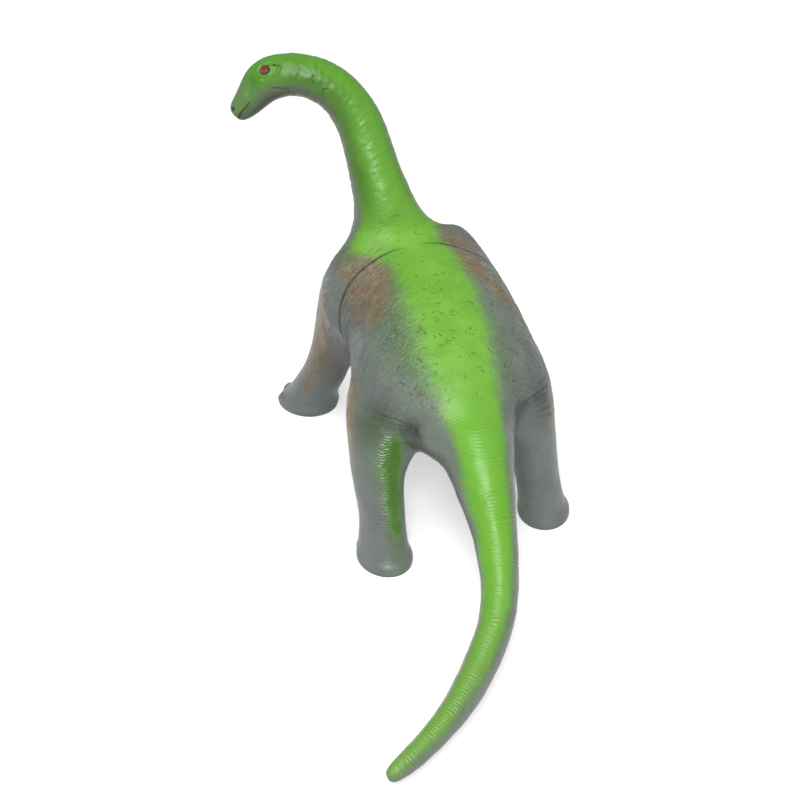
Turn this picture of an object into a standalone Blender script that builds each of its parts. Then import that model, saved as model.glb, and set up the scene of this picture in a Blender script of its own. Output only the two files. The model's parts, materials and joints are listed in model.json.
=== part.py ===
"""Soft vinyl toy dinosaur: two hollow skins that snap together behind the shoulders, stuffed with
polyester wads. It faces -Y with its left side at +X, stands on z = 0, and every size is in metres."""

import math

import bmesh
import bpy
from mathutils import Matrix, Vector

mm = 0.001

# Trunk: forward distances start at the hips, heights at the floor.
trunk_length = 220 * mm
trunk_width = 146 * mm
back_height = 195 * mm

# Neck and head, measured on from the last ring of the trunk.
neck_reach = 45 * mm
neck_swing = 57 * mm
neck_rise = 126 * mm
neck_radius = 20 * mm
head_forward = 6 * mm
head_reach = 62.5 * mm
head_drop = 33 * mm
head_depth = 36 * mm
head_width = 31 * mm

# Tail, measured back from the first ring of the trunk.
tail_reach = 233 * mm
tail_swing = 124 * mm
tail_drop = 96 * mm
tail_radius = 28.5 * mm

# Legs: where each one leaves the trunk and where its foot stands, as shares of the
# trunk's length forward and of its width to the left.
hip_share = 0.667
left_hip_share = (0.2, 0.445)
left_hind_foot_share = (-0.045, 0.486)
right_hip_share = (0.209, -0.41)
right_hind_foot_share = (0.064, -0.497)
hind_leg_along_share = 0.173
hind_leg_across_share = 0.192
left_hind_bows = (1.0, 0.5)
right_hind_bows = (1.0, 1.5)
shoulder_share = 0.749
left_shoulder_share = (0.82, 0.405)
left_fore_foot_share = (0.991, 0.589)
right_shoulder_share = (0.92, -0.342)
right_fore_foot_share = (0.941, -0.548)
fore_leg_along_share = 0.155
fore_leg_across_share = 0.178
left_fore_bows = (1.9, 2.0)
right_fore_bows = (1.4, 1.3)
hind_toe_out = 16
fore_toe_out = 38

# Face and toes.
eye_radius = 4.6 * mm
eye_depth = 2.6 * mm
eye_sink = 1.2 * mm
eye_share = (2.0, 62)
nostril_radius = 1.3 * mm
nostril_share = (6.4, 60)
mouth_radius = 0.8 * mm
mouth_sides = 6
claw_half_width = 5.2 * mm
claw_half_length = 6.2 * mm
claw_half_height = 4.5 * mm
claw_lift = 4.7 * mm
claw_set_back = 4.4 * mm
claw_turns = (-32, 0, 32)

# Skins and their snap joint.
wall = 2.5 * mm
clearance = 0.3 * mm
seam_forward_share = 0.627
seam_left_share = -0.02
seam_height_share = 0.636
seam_lean = -12
flange = 3 * mm
plug_radius = 46 * mm
plug_wall = 3 * mm
bead_height = 2.5 * mm
bead_length = 5 * mm
bead_chamfer = 1.5 * mm
plug_sides = 48
overrun = 20 * mm
cutter_reach = 600 * mm

# Stuffing: its fit in the skins and where the wads part, as shares of the trunk.
stuffing_slack = 1.4 * mm
hind_split_left_share = 0.205
hind_split_height_share = 0.328
hind_split_back_share = 0.227
hind_split_front_share = 0.318
fore_split_back_share = 0.705
fore_split_left_share = 0.205
fore_split_height_share = 0.338
leg_split_inside_share = 0.308
leg_split_tilt = 30
tail_split_back_share = 0.145
cavity_share = 0.6
stuffing_share = 0.5

# Which way the neck's and the head's upper sides look: forward, left, up.
nape_hint_share = (-0.6, 0.0, 0.8)
crown_hint_share = (0.40, 0.48, 0.75)

# Rings: points round the body and faces of each leg's root.
ring_turns = (0, 30, 60, 90, 118, 146, 180, 214, 242, 270, 300, 330)
ring_points = len(ring_turns)
root_rows = 3
root_columns = 2
root_drop_share = 0.1
root_blend_share = 0.3
root_bulge_share = 0.2

# Trunk rings: top forward, top up, bottom forward, bottom up, left, half width.
trunk_shares = (
    (-0.09, 0.70, -0.045, 0.435, 0.014, 0.24),
    (0.0, 0.78, 0.035, 0.425, 0.025, 0.34),
    (0.11, 0.83, 0.125, 0.40, 0.02, 0.455),
    (0.225, 0.875, 0.225, 0.355, -0.005, 0.52),
    (0.355, 0.915, 0.345, 0.285, -0.02, 0.53),
    (0.47, 0.945, 0.49, 0.265, -0.038, 0.508),
    (0.58, 0.965, 0.625, 0.275, -0.045, 0.495),
    (0.66, 0.97, 0.70, 0.33, -0.028, 0.503),
    (0.695, 0.975, 0.90, 0.43, 0.035, 0.51),
    (0.725, 0.985, 0.97, 0.565, 0.075, 0.472),
    (0.742, 1.0, 0.995, 0.71, 0.108, 0.368),
    (0.76, 1.05, 0.995, 0.845, 0.107, 0.225),
)

# Neck rings: forward, left, up, radius.
neck_shares = (
    (-0.02, 0.06, 0.2, 1.25),
    (0.155, 0.13, 0.33, 1.12),
    (0.31, 0.18, 0.45, 1.04),
    (0.465, 0.225, 0.57, 1.0),
    (0.60, 0.29, 0.685, 0.97),
    (0.72, 0.41, 0.80, 0.955),
    (0.82, 0.575, 0.895, 0.935),
    (0.91, 0.775, 0.965, 0.90),
    (1.0, 1.0, 1.0, 0.88),
)

# Head rings: forward, left, drop, half depth, half width.
head_shares = (
    (0.5, 0.20, -0.055, 0.48, 0.55),
    (0.67, 0.33, -0.03, 0.49, 0.52),
    (0.83, 0.465, 0.02, 0.505, 0.49),
    (0.92, 0.59, 0.175, 0.475, 0.46),
    (1.0, 0.685, 0.41, 0.40, 0.40),
    (1.0, 0.78, 0.63, 0.34, 0.35),
    (1.0, 0.885, 0.815, 0.28, 0.285),
    (1.0, 0.965, 0.955, 0.18, 0.20),
)

# Tail rings from the root to the tip: back, left, drop, radius.
tail_shares = (
    (0.075, -0.008, 0.0, 1.0),
    (0.15, 0.008, 0.095, 0.86),
    (0.227, 0.01, 0.21, 0.735),
    (0.30, 0.012, 0.345, 0.605),
    (0.386, 0.03, 0.50, 0.54),
    (0.468, 0.06, 0.635, 0.49),
    (0.554, 0.128, 0.74, 0.47),
    (0.635, 0.232, 0.828, 0.457),
    (0.712, 0.352, 0.896, 0.444),
    (0.785, 0.467, 0.925, 0.40),
    (0.85, 0.592, 0.945, 0.355),
    (0.906, 0.72, 0.97, 0.325),
    (0.957, 0.858, 0.985, 0.29),
    (0.993, 0.965, 0.99, 0.24),
    (1.012, 1.02, 0.995, 0.15),
)

# Mouth line along the head's left side: ring, degrees down from the crown.
mouth_shares = (
    (3.07, 106),
    (3.87, 102),
    (4.87, 98),
    (5.6, 102),
    (6.4, 114),
    (6.85, 122),
)
mouth_tip_share = 0.62

# Leg rings from the root to the sole: drop, half along, half across.
hind_leg_shares = (
    (0.0, 1.0, 1.0),
    (0.215, 0.84, 0.80),
    (0.425, 0.71, 0.71),
    (0.615, 0.645, 0.67),
    (0.775, 0.605, 0.65),
    (0.905, 0.62, 0.68),
    (1.0, 0.655, 0.74),
)
fore_leg_shares = (
    (0.0, 1.0, 1.0),
    (0.25, 0.76, 0.77),
    (0.465, 0.62, 0.71),
    (0.68, 0.58, 0.70),
    (0.87, 0.69, 0.82),
    (1.0, 0.80, 0.93),
)


def place(forward, left, up):
    """A point of the animal in the part's axes."""
    return Vector((left, -forward, up))


def over_trunk(share):
    """A forward and left place from its shares of the trunk's length and width."""
    return share[0] * trunk_length, share[1] * trunk_width


def hind_girth():
    return hind_leg_along_share * trunk_length, hind_leg_across_share * trunk_width


def fore_girth():
    return fore_leg_along_share * trunk_length, fore_leg_across_share * trunk_width


def swell(count):
    """How far a smoothed ring of that many points draws in, undone."""
    return 3 / (2 + math.cos(math.tau / count))


def trunk_rings():
    rings = []
    for top_f, top_u, low_f, low_u, left, half in trunk_shares:
        top = place(top_f * trunk_length, left * trunk_width, top_u * back_height)
        low = place(low_f * trunk_length, left * trunk_width, low_u * back_height)
        rings.append(((top + low) / 2, (top - low) / 2, half * trunk_width))
    return rings


def tail_path(root):
    rings = []
    for back, left, drop, girth in reversed(tail_shares):
        centre = root + place(-back * tail_reach, left * tail_swing, -drop * tail_drop)
        rings.append((centre, girth * tail_radius, girth * tail_radius))
    return rings


def neck_path(root):
    rings = []
    for forward, left, up, girth in neck_shares:
        centre = root + place(forward * neck_reach, left * neck_swing, up * neck_rise)
        rings.append((centre, girth * neck_radius, girth * neck_radius))
    return rings


def head_path(nape):
    rings = []
    for forward, left, drop, half_deep, half_wide in head_shares:
        centre = nape + place(forward * head_forward, left * head_reach, -drop * head_drop)
        rings.append((centre, half_deep * head_depth, half_wide * head_width))
    return rings


def body_rings():
    """Every ring from the tail's tip to the snout: centre, up half axis, left half axis."""
    trunk = trunk_rings()
    tail = tail_path(trunk[0][0])
    neck = neck_path(trunk[-1][0])
    head = head_path(neck[-1][0])
    over_back = place(*nape_hint_share)
    crown = place(*crown_hint_share)
    path = tail + trunk + neck + head
    first_neck = len(tail) + len(trunk)
    rings = []
    for index, (centre, tall, wide) in enumerate(path):
        before = path[max(index - 1, 0)][0]
        after = path[min(index + 1, len(path) - 1)][0]
        ahead = (after - before).normalized()
        if isinstance(tall, Vector):
            up = tall
        else:
            turn = min(max((index - first_neck) / len(neck), 0.0), 1.0)
            hint = over_back.lerp(crown, turn) if index >= first_neck else place(0.0, 0.0, 1.0)
            up = (hint - ahead * hint.dot(ahead)).normalized() * tall
        left = up.cross(ahead).normalized() * wide
        rings.append((centre, up, left))
    return rings


def section(shares, drop):
    """A leg's half axes at a drop between the rows of its table."""
    for (low, along_a, across_a), (high, along_b, across_b) in zip(shares, shares[1:]):
        if drop <= high:
            share = (drop - low) / (high - low)
            return along_a + (along_b - along_a) * share, across_a + (across_b - across_a) * share
    return shares[-1][1:]


def leg_point(leg, height, angle):
    """A point of a leg's outside at a height and an angle round from its outer side."""
    shares, top, foot, (full, along, across, toe_out), (stride_bow, side_bow) = leg
    side = 1 if foot[1] > 0 else -1
    drop = min(max(1 - height / full, 0.0), 1.0)
    half_along, half_across = section(shares, drop)
    turn = Matrix.Rotation(side * math.radians(toe_out) * drop, 3, "Z")
    offset = turn @ place(
        math.sin(angle) * half_along * along,
        math.cos(angle) * half_across * across * side,
        0.0,
    )
    centre = place(
        top[0] + (foot[0] - top[0]) * drop ** stride_bow,
        top[1] + (foot[1] - top[1]) * drop ** side_bow,
        height,
    )
    return centre + offset


def add_ring(cage, centre, first, second, angles):
    grow = swell(len(angles))
    return [
        cage.verts.new(centre + (first * math.cos(a) + second * math.sin(a)) * grow)
        for a in angles
    ]


def bridge(cage, ring_a, ring_b, skip=()):
    count = len(ring_a)
    for k in range(count):
        if k in skip:
            continue
        n = (k + 1) % count
        cage.faces.new((ring_a[k], ring_b[k], ring_b[n], ring_a[n]))


def root_loop(rings, first, column, side):
    """The open edge that a leg's root leaves in the trunk, from its outer rear corner forwards."""
    def at(row, col):
        return rings[first + row][(side * (column + col)) % ring_points]
    loop = [at(row, 0) for row in range(root_rows)]
    loop += [at(root_rows, col) for col in range(root_columns)]
    loop += [at(row, root_columns) for row in range(root_rows, 0, -1)]
    loop += [at(0, col) for col in range(root_columns, 0, -1)]
    return loop


def add_leg(cage, loop, leg, crease):
    """Rings down from the root, each point falling from its own height on the root's edge."""
    step = math.tau / len(loop)
    angles = [(k - root_rows / 2) * step for k in range(len(loop))]
    grow = swell(len(loop))
    previous = loop
    for row, (drop, _, _) in enumerate(leg[0]):
        ring = []
        for angle, edge in zip(angles, loop):
            height = edge.co.z * (1 - max(drop, root_drop_share))
            centre = (leg_point(leg, height, angle) + leg_point(leg, height, angle + math.pi)) / 2
            point = centre + (leg_point(leg, height, angle) - centre) * grow
            if row == 0:
                outer = max(math.cos(angle), 0.0) * root_bulge_share
                point = edge.co.lerp(point, root_blend_share + outer)
            ring.append(cage.verts.new(point))
        bridge(cage, previous, ring)
        previous = ring
    cage.faces.new(previous)
    for k, vert in enumerate(previous):
        edge = cage.edges.get((vert, previous[(k + 1) % len(previous)]))
        edge[crease] = 1.0


def body_cage():
    """A coarse closed cage of the whole animal, for a subdivision surface."""
    cage = bmesh.new()
    crease = cage.edges.layers.float.new("crease_edge")
    angles = [math.radians(turn) for turn in ring_turns]
    rings = [add_ring(cage, c, up, left, angles) for c, up, left in body_rings()]
    first_trunk = len(tail_shares)
    roots = {"hind": (first_trunk + 1, 3), "fore": (first_trunk + 7, 3)}
    for index in range(len(rings) - 1):
        skip = set()
        for first, column in roots.values():
            if first <= index < first + root_rows:
                for col in range(column, column + root_columns):
                    skip.add(col)
                    skip.add(ring_points - 1 - col)
        bridge(cage, rings[index], rings[index + 1], skip)
    cage.faces.new(rings[0])
    cage.faces.new(rings[-1])
    hind = (hip_share * back_height, *hind_girth(), hind_toe_out)
    fore = (shoulder_share * back_height, *fore_girth(), fore_toe_out)
    legs = (
        ("hind", 1, left_hip_share, left_hind_foot_share, hind_leg_shares, hind, left_hind_bows),
        ("hind", -1, right_hip_share, right_hind_foot_share, hind_leg_shares, hind, right_hind_bows),
        ("fore", 1, left_shoulder_share, left_fore_foot_share, fore_leg_shares, fore, left_fore_bows),
        ("fore", -1, right_shoulder_share, right_fore_foot_share, fore_leg_shares, fore, right_fore_bows),
    )
    for pair, side, top, foot, shares, sizes, bows in legs:
        loop = root_loop(rings, *roots[pair], side)
        add_leg(cage, loop, (shares, over_trunk(top), over_trunk(foot), sizes, bows), crease)
    bmesh.ops.recalc_face_normals(cage, faces=cage.faces)
    return cage


def head_point(rings, ring, degrees, reach=1.0):
    """A point on the head: its place between two rings, and the angle down from the crown."""
    first = int(ring)
    share = ring - first
    start = len(rings) - len(head_shares)
    centre, up, left = (
        a.lerp(b, share) for a, b in zip(rings[start + first], rings[start + first + 1])
    )
    turn = math.radians(degrees)
    return centre + (up * math.cos(turn) + left * math.sin(turn)) * reach


def clear_scene():
    for obj in list(bpy.data.objects):
        bpy.data.objects.remove(obj)


def link(name, mesh):
    obj = bpy.data.objects.new(name, mesh)
    bpy.context.scene.collection.objects.link(obj)
    return obj


def solid(name, shape):
    bmesh.ops.recalc_face_normals(shape, faces=shape.faces)
    mesh = bpy.data.meshes.new(name)
    shape.to_mesh(mesh)
    shape.free()
    return link(name, mesh)


def work_in(obj):
    """Turns an object's modifiers into plain mesh."""
    depsgraph = bpy.context.evaluated_depsgraph_get()
    mesh = bpy.data.meshes.new_from_object(obj.evaluated_get(depsgraph))
    obj.modifiers.clear()
    obj.data = mesh


def combine(obj, tool, operation, keep_tool=False):
    boolean = obj.modifiers.new("combine", "BOOLEAN")
    boolean.object = tool
    boolean.operation = operation
    boolean.solver = "EXACT"
    work_in(obj)
    if not keep_tool:
        bpy.data.objects.remove(tool)


def twin(obj, name):
    return link(name, obj.data.copy())


def form(name, inset=0.0, share=1.0):
    """The animal's shape drawn in by a distance, with only a share of its faces kept."""
    obj = solid(name, body_cage())
    smooth = obj.modifiers.new("smooth", "SUBSURF")
    smooth.levels = smooth.render_levels = 1
    if inset:
        draw_in = obj.modifiers.new("draw_in", "DISPLACE")
        draw_in.mid_level = 0.0
        draw_in.strength = -inset
    if share < 1.0:
        thin_out = obj.modifiers.new("thin_out", "DECIMATE")
        thin_out.ratio = share
    work_in(obj)
    return obj


def block(frame, low, high):
    """A box between two corners given in a frame's own axes."""
    low = Vector(low)
    high = Vector(high)
    size = Matrix.Diagonal((high - low).to_4d())
    size[3][3] = 1.0
    shape = bmesh.new()
    bmesh.ops.create_cube(shape, size=1.0, matrix=frame @ Matrix.Translation((low + high) / 2) @ size)
    return solid("block", shape)


def turned_solid(frame, profile):
    """A closed round solid about a frame's Z axis, from (radius, height) rows."""
    shape = bmesh.new()
    rings = []
    for radius, height in profile:
        ring = []
        for k in range(plug_sides):
            turn = k * math.tau / plug_sides
            point = Vector((radius * math.cos(turn), radius * math.sin(turn), height))
            ring.append(shape.verts.new(frame @ point))
        rings.append(ring)
    for ring_a, ring_b in zip(rings, rings[1:]):
        bridge(shape, ring_a, ring_b)
    shape.faces.new(rings[0])
    shape.faces.new(rings[-1])
    return solid("turned", shape)


def add_ball(shape, centre, first, second, third, segments):
    axes = Matrix((first, second, third)).transposed().to_4x4()
    bmesh.ops.create_uvsphere(
        shape,
        u_segments=segments,
        v_segments=segments * 2 // 3,
        radius=1.0,
        matrix=Matrix.Translation(centre) @ axes,
    )


def eyes(rings):
    shape = bmesh.new()
    ring, degrees = eye_share
    for side in (1, -1):
        middle = head_point(rings, ring, side * degrees)
        inside = head_point(rings, ring, side * degrees, 0.0)
        ahead = (head_point(rings, ring + 1, 0, 0.0) - inside).normalized()
        out = (middle - inside).normalized()
        across = out.cross(ahead).normalized()
        along = across.cross(out)
        add_ball(
            shape,
            middle - out * eye_sink,
            along * eye_radius,
            across * eye_radius,
            out * eye_depth,
            12,
        )
    return solid("eyes", shape)


def nostrils(rings):
    shape = bmesh.new()
    ring, degrees = nostril_share
    for side in (1, -1):
        middle = head_point(rings, ring, side * degrees)
        axes = Matrix.Identity(3) * nostril_radius
        add_ball(shape, middle, axes[0], axes[1], axes[2], 6)
    return solid("nostrils", shape)


def mouth(rings):
    """A thin bent rod along the lips, for cutting the mouth's groove."""
    left = [head_point(rings, ring, degrees) for ring, degrees in mouth_shares]
    right = [head_point(rings, ring, -degrees) for ring, degrees in mouth_shares]
    centre, up, _ = rings[-1]
    tip = centre - up * mouth_tip_share
    path = left + [tip] + right[::-1]
    shape = bmesh.new()
    previous = None
    for index, point in enumerate(path):
        before = path[max(index - 1, 0)]
        after = path[min(index + 1, len(path) - 1)]
        ahead = (after - before).normalized()
        first = up.cross(ahead).normalized()
        second = ahead.cross(first)
        ring = []
        for k in range(mouth_sides):
            turn = k * math.tau / mouth_sides
            offset = (first * math.cos(turn) + second * math.sin(turn)) * mouth_radius
            ring.append(shape.verts.new(point + offset))
        if previous:
            bridge(shape, previous, ring)
        else:
            shape.faces.new(ring)
        previous = ring
    shape.faces.new(previous)
    return solid("mouth", shape)


def claws():
    """Three blunt claws round the front of every foot."""
    feet = (
        (left_hind_foot_share, hind_leg_shares, hind_girth(), hind_toe_out),
        (right_hind_foot_share, hind_leg_shares, hind_girth(), hind_toe_out),
        (left_fore_foot_share, fore_leg_shares, fore_girth(), fore_toe_out),
        (right_fore_foot_share, fore_leg_shares, fore_girth(), fore_toe_out),
    )
    shape = bmesh.new()
    for foot_share, shares, (along, across), toe_out in feet:
        foot = over_trunk(foot_share)
        side = 1 if foot[1] > 0 else -1
        _, half_along, half_across = shares[-1]
        facing = Matrix.Rotation(side * math.radians(toe_out), 3, "Z")
        for degrees in claw_turns:
            turn = math.radians(degrees)
            rim = facing @ place(
                math.cos(turn) * half_along * along,
                math.sin(turn) * half_across * across,
                0.0,
            )
            ahead = rim.normalized()
            up = place(0.0, 0.0, 1.0)
            centre = place(foot[0], foot[1], claw_lift) + rim - ahead * claw_set_back
            add_ball(
                shape,
                centre,
                ahead * claw_half_length,
                ahead.cross(up) * claw_half_width,
                up * claw_half_height,
                9,
            )
    return solid("claws", shape)


def seam_centre():
    forward, left = over_trunk((seam_forward_share, seam_left_share))
    return place(forward, left, seam_height_share * back_height)


def seam_frame():
    """A frame at the seam's centre whose Z axis is the plug's axis, pointing forward."""
    lean = math.radians(seam_lean)
    axis = place(math.cos(lean), 0.0, math.sin(lean))
    turn = axis.to_track_quat("Z", "Y").to_matrix().to_4x4()
    return Matrix.Translation(seam_centre()) @ turn


def ahead_of(distance):
    low = (-cutter_reach, -cutter_reach, distance)
    return block(seam_frame(), low, (cutter_reach, cutter_reach, cutter_reach))


def behind(distance):
    high = (cutter_reach, cutter_reach, -distance)
    return block(seam_frame(), (-cutter_reach, -cutter_reach, -cutter_reach), high)


def outer_form():
    rings = body_rings()
    outer = form("outer")
    combine(outer, eyes(rings), "UNION")
    combine(outer, claws(), "UNION")
    combine(outer, nostrils(rings), "DIFFERENCE")
    combine(outer, mouth(rings), "DIFFERENCE")
    return outer


def front_skin(outer, cavity):
    """Head, neck, chest and forelegs, with the round plug that snaps into the rear skin."""
    skin = twin(outer, "front_skin")
    half_gap = clearance / 2
    combine(skin, ahead_of(half_gap), "INTERSECT")
    hollow = twin(cavity, "hollow")
    combine(hollow, ahead_of(half_gap + flange), "INTERSECT")
    combine(skin, hollow, "DIFFERENCE")
    bead_front = -(half_gap + flange + clearance)
    bead_rear = bead_front - bead_length
    bead_radius = plug_radius + bead_height
    plug = turned_solid(seam_frame(), (
        (plug_radius, half_gap + flange / 2),
        (plug_radius, bead_front),
        (bead_radius, bead_front - bead_chamfer / 3),
        (bead_radius, bead_rear + bead_chamfer),
        (bead_radius - bead_chamfer, bead_rear),
    ))
    combine(skin, plug, "UNION")
    bore = turned_solid(seam_frame(), (
        (plug_radius - plug_wall, bead_rear - overrun),
        (plug_radius - plug_wall, half_gap + flange + overrun),
    ))
    combine(skin, bore, "DIFFERENCE")
    return skin


def rear_skin(outer, cavity):
    """Trunk, hind legs and tail, with the round hole that takes the plug."""
    skin = twin(outer, "rear_skin")
    half_gap = clearance / 2
    combine(skin, behind(half_gap), "INTERSECT")
    hollow = twin(cavity, "hollow")
    combine(hollow, behind(half_gap + flange), "INTERSECT")
    combine(skin, hollow, "DIFFERENCE")
    hole = turned_solid(seam_frame(), (
        (plug_radius + clearance, -half_gap - flange - overrun),
        (plug_radius + clearance, overrun),
    ))
    combine(skin, hole, "DIFFERENCE")
    return skin


def leg_split(side, forward, back, front, left, height, grow):
    """The block that holds one leg's wad, its top face leaning up and outwards."""
    turn = Matrix.Rotation(-side * math.radians(leg_split_tilt), 4, "Y")
    frame = Matrix.Translation(place(forward, side * left, height)) @ turn
    inside = leg_split_inside_share * trunk_width
    sides = sorted((-side * (inside + grow), side * cutter_reach))
    low = (sides[0], -front - grow, -cutter_reach)
    high = (sides[1], back + grow, grow)
    return block(frame, low, high)


def hind_split(side, grow=0.0):
    back = hind_split_back_share * trunk_length
    front = hind_split_front_share * trunk_length
    left = hind_split_left_share * trunk_width
    height = hind_split_height_share * back_height
    return leg_split(side, 0.0, back, front, left, height, grow)


def fore_split(side, grow=0.0):
    back = fore_split_back_share * trunk_length
    left = fore_split_left_share * trunk_width
    height = fore_split_height_share * back_height
    return leg_split(side, back, 0.0, cutter_reach, left, height, grow)


def neck_split(grow=0.0):
    rings = body_rings()
    first = len(tail_shares) + len(trunk_shares)
    centre = rings[first][0]
    ahead = (rings[first + 1][0] - rings[first - 1][0]).normalized()
    frame = Matrix.Translation(centre) @ ahead.to_track_quat("Z", "Y").to_matrix().to_4x4()
    low = (-cutter_reach, -cutter_reach, -grow)
    return block(frame, low, (cutter_reach, cutter_reach, cutter_reach))


def tail_split(grow=0.0):
    frame = Matrix.Translation(place(-tail_split_back_share * trunk_length, 0.0, 0.0))
    low = (-cutter_reach, -grow, -cutter_reach)
    return block(frame, low, (cutter_reach, cutter_reach, cutter_reach))


def wad(filling, name, split):
    piece = twin(filling, name)
    combine(piece, split, "INTERSECT")
    return piece


def front_stuffing(stuffing):
    filling = twin(stuffing, "chest_stuffing")
    combine(filling, ahead_of(clearance / 2 + flange + stuffing_slack), "INTERSECT")
    neck = wad(filling, "neck_stuffing", neck_split())
    left = wad(filling, "left_foreleg_stuffing", fore_split(1))
    right = wad(filling, "right_foreleg_stuffing", fore_split(-1))
    combine(filling, neck_split(clearance), "DIFFERENCE")
    combine(filling, fore_split(1, clearance), "DIFFERENCE")
    combine(filling, fore_split(-1, clearance), "DIFFERENCE")
    return [neck, filling, left, right]


def rear_stuffing(stuffing):
    filling = twin(stuffing, "trunk_stuffing")
    plug_end = clearance / 2 + flange + clearance + bead_length
    combine(filling, behind(plug_end + stuffing_slack), "INTERSECT")
    left = wad(filling, "left_hind_leg_stuffing", hind_split(1))
    right = wad(filling, "right_hind_leg_stuffing", hind_split(-1))
    combine(filling, hind_split(1, clearance), "DIFFERENCE")
    combine(filling, hind_split(-1, clearance), "DIFFERENCE")
    tail = wad(filling, "tail_stuffing", tail_split())
    combine(filling, tail_split(clearance), "DIFFERENCE")
    return [filling, left, right, tail]


def principled(name, colour, roughness):
    material = bpy.data.materials.new(name)
    material.use_nodes = True
    shader = material.node_tree.nodes["Principled BSDF"]
    shader.inputs["Base Color"].default_value = (*colour, 1.0)
    shader.inputs["Roughness"].default_value = roughness
    shader.inputs["Metallic"].default_value = 0.0
    return material


def front_vinyl():
    return principled("front_vinyl", (0.20, 0.42, 0.10), 0.42)


def rear_vinyl():
    return principled("rear_vinyl", (0.19, 0.34, 0.11), 0.42)


def polyester_fibre(name):
    return principled(name, (0.86, 0.85, 0.82), 0.95)


def set_origin(obj, point):
    obj.data.transform(Matrix.Translation(-point))
    obj.location = point


def main():
    clear_scene()
    outer = outer_form()
    cavity = form("cavity", wall, cavity_share)
    stuffing = form("stuffing", wall + stuffing_slack, stuffing_share)
    front = front_skin(outer, cavity)
    rear = rear_skin(outer, cavity)
    corners = [obj.matrix_world @ vert.co for obj in (front, rear) for vert in obj.data.vertices]
    low = Vector(min(point[k] for point in corners) for k in range(3))
    high = Vector(max(point[k] for point in corners) for k in range(3))
    base = (low + high) / 2
    base.z = low.z
    front_pieces = [front, *front_stuffing(stuffing)]
    rear_pieces = [rear, *rear_stuffing(stuffing)]
    front.data.materials.append(front_vinyl())
    rear.data.materials.append(rear_vinyl())
    for piece in front_pieces[1:] + rear_pieces[1:]:
        piece.data.materials.append(polyester_fibre(piece.name + "_fibre"))
    for piece in front_pieces + rear_pieces:
        piece.data.transform(Matrix.Translation(-base))
        piece.data.shade_smooth()
    for piece in front_pieces:
        set_origin(piece, seam_centre() - base)
    for helper in (outer, cavity, stuffing):
        bpy.data.objects.remove(helper)


main()
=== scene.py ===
# Soft vinyl long-necked dinosaur: it faces -Y, its left side is +X, it stands on z = 0, in metres.

import json
import math

import bmesh
import bpy
import numpy as np
from mathutils import Matrix, Vector
from mathutils.bvhtree import BVHTree

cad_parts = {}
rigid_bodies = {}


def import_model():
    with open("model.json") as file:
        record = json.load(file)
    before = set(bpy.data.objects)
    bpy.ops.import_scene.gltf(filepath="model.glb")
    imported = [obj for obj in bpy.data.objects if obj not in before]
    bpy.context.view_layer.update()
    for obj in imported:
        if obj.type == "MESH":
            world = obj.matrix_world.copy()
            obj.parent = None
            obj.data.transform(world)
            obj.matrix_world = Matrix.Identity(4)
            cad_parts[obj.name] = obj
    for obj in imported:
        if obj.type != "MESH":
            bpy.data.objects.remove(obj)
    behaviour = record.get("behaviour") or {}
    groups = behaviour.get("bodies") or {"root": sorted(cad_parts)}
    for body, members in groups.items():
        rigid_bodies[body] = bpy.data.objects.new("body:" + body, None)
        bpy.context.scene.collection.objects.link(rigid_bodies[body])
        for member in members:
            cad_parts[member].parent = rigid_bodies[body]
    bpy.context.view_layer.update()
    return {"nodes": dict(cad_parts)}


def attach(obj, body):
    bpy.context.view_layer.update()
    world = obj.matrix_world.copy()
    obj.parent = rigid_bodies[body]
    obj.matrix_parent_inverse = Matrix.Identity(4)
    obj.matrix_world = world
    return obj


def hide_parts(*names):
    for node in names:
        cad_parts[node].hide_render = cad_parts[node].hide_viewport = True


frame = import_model()
mm = 0.001
print("frame loaded:", len(frame["nodes"]), "solids")


# Node trees

class Strand:
    # one socket of a node tree, used in sums as if it were a number
    def __init__(self, bench, socket):
        self.bench = bench
        self.socket = socket

    def act(self, operation, *others):
        return self.bench.sum(operation, self, *others)

    def __add__(self, other):
        return self.act("ADD", other)

    def __radd__(self, other):
        return self.act("ADD", other)

    def __sub__(self, other):
        return self.act("SUBTRACT", other)

    def __rsub__(self, other):
        return self.bench.sum("SUBTRACT", other, self)

    def __mul__(self, other):
        return self.act("MULTIPLY", other)

    def __rmul__(self, other):
        return self.act("MULTIPLY", other)

    def __truediv__(self, other):
        return self.act("DIVIDE", other)

    def __rtruediv__(self, other):
        return self.bench.sum("DIVIDE", other, self)

    def __pow__(self, other):
        return self.act("POWER", other)

    def __abs__(self):
        return self.act("ABSOLUTE")


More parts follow.
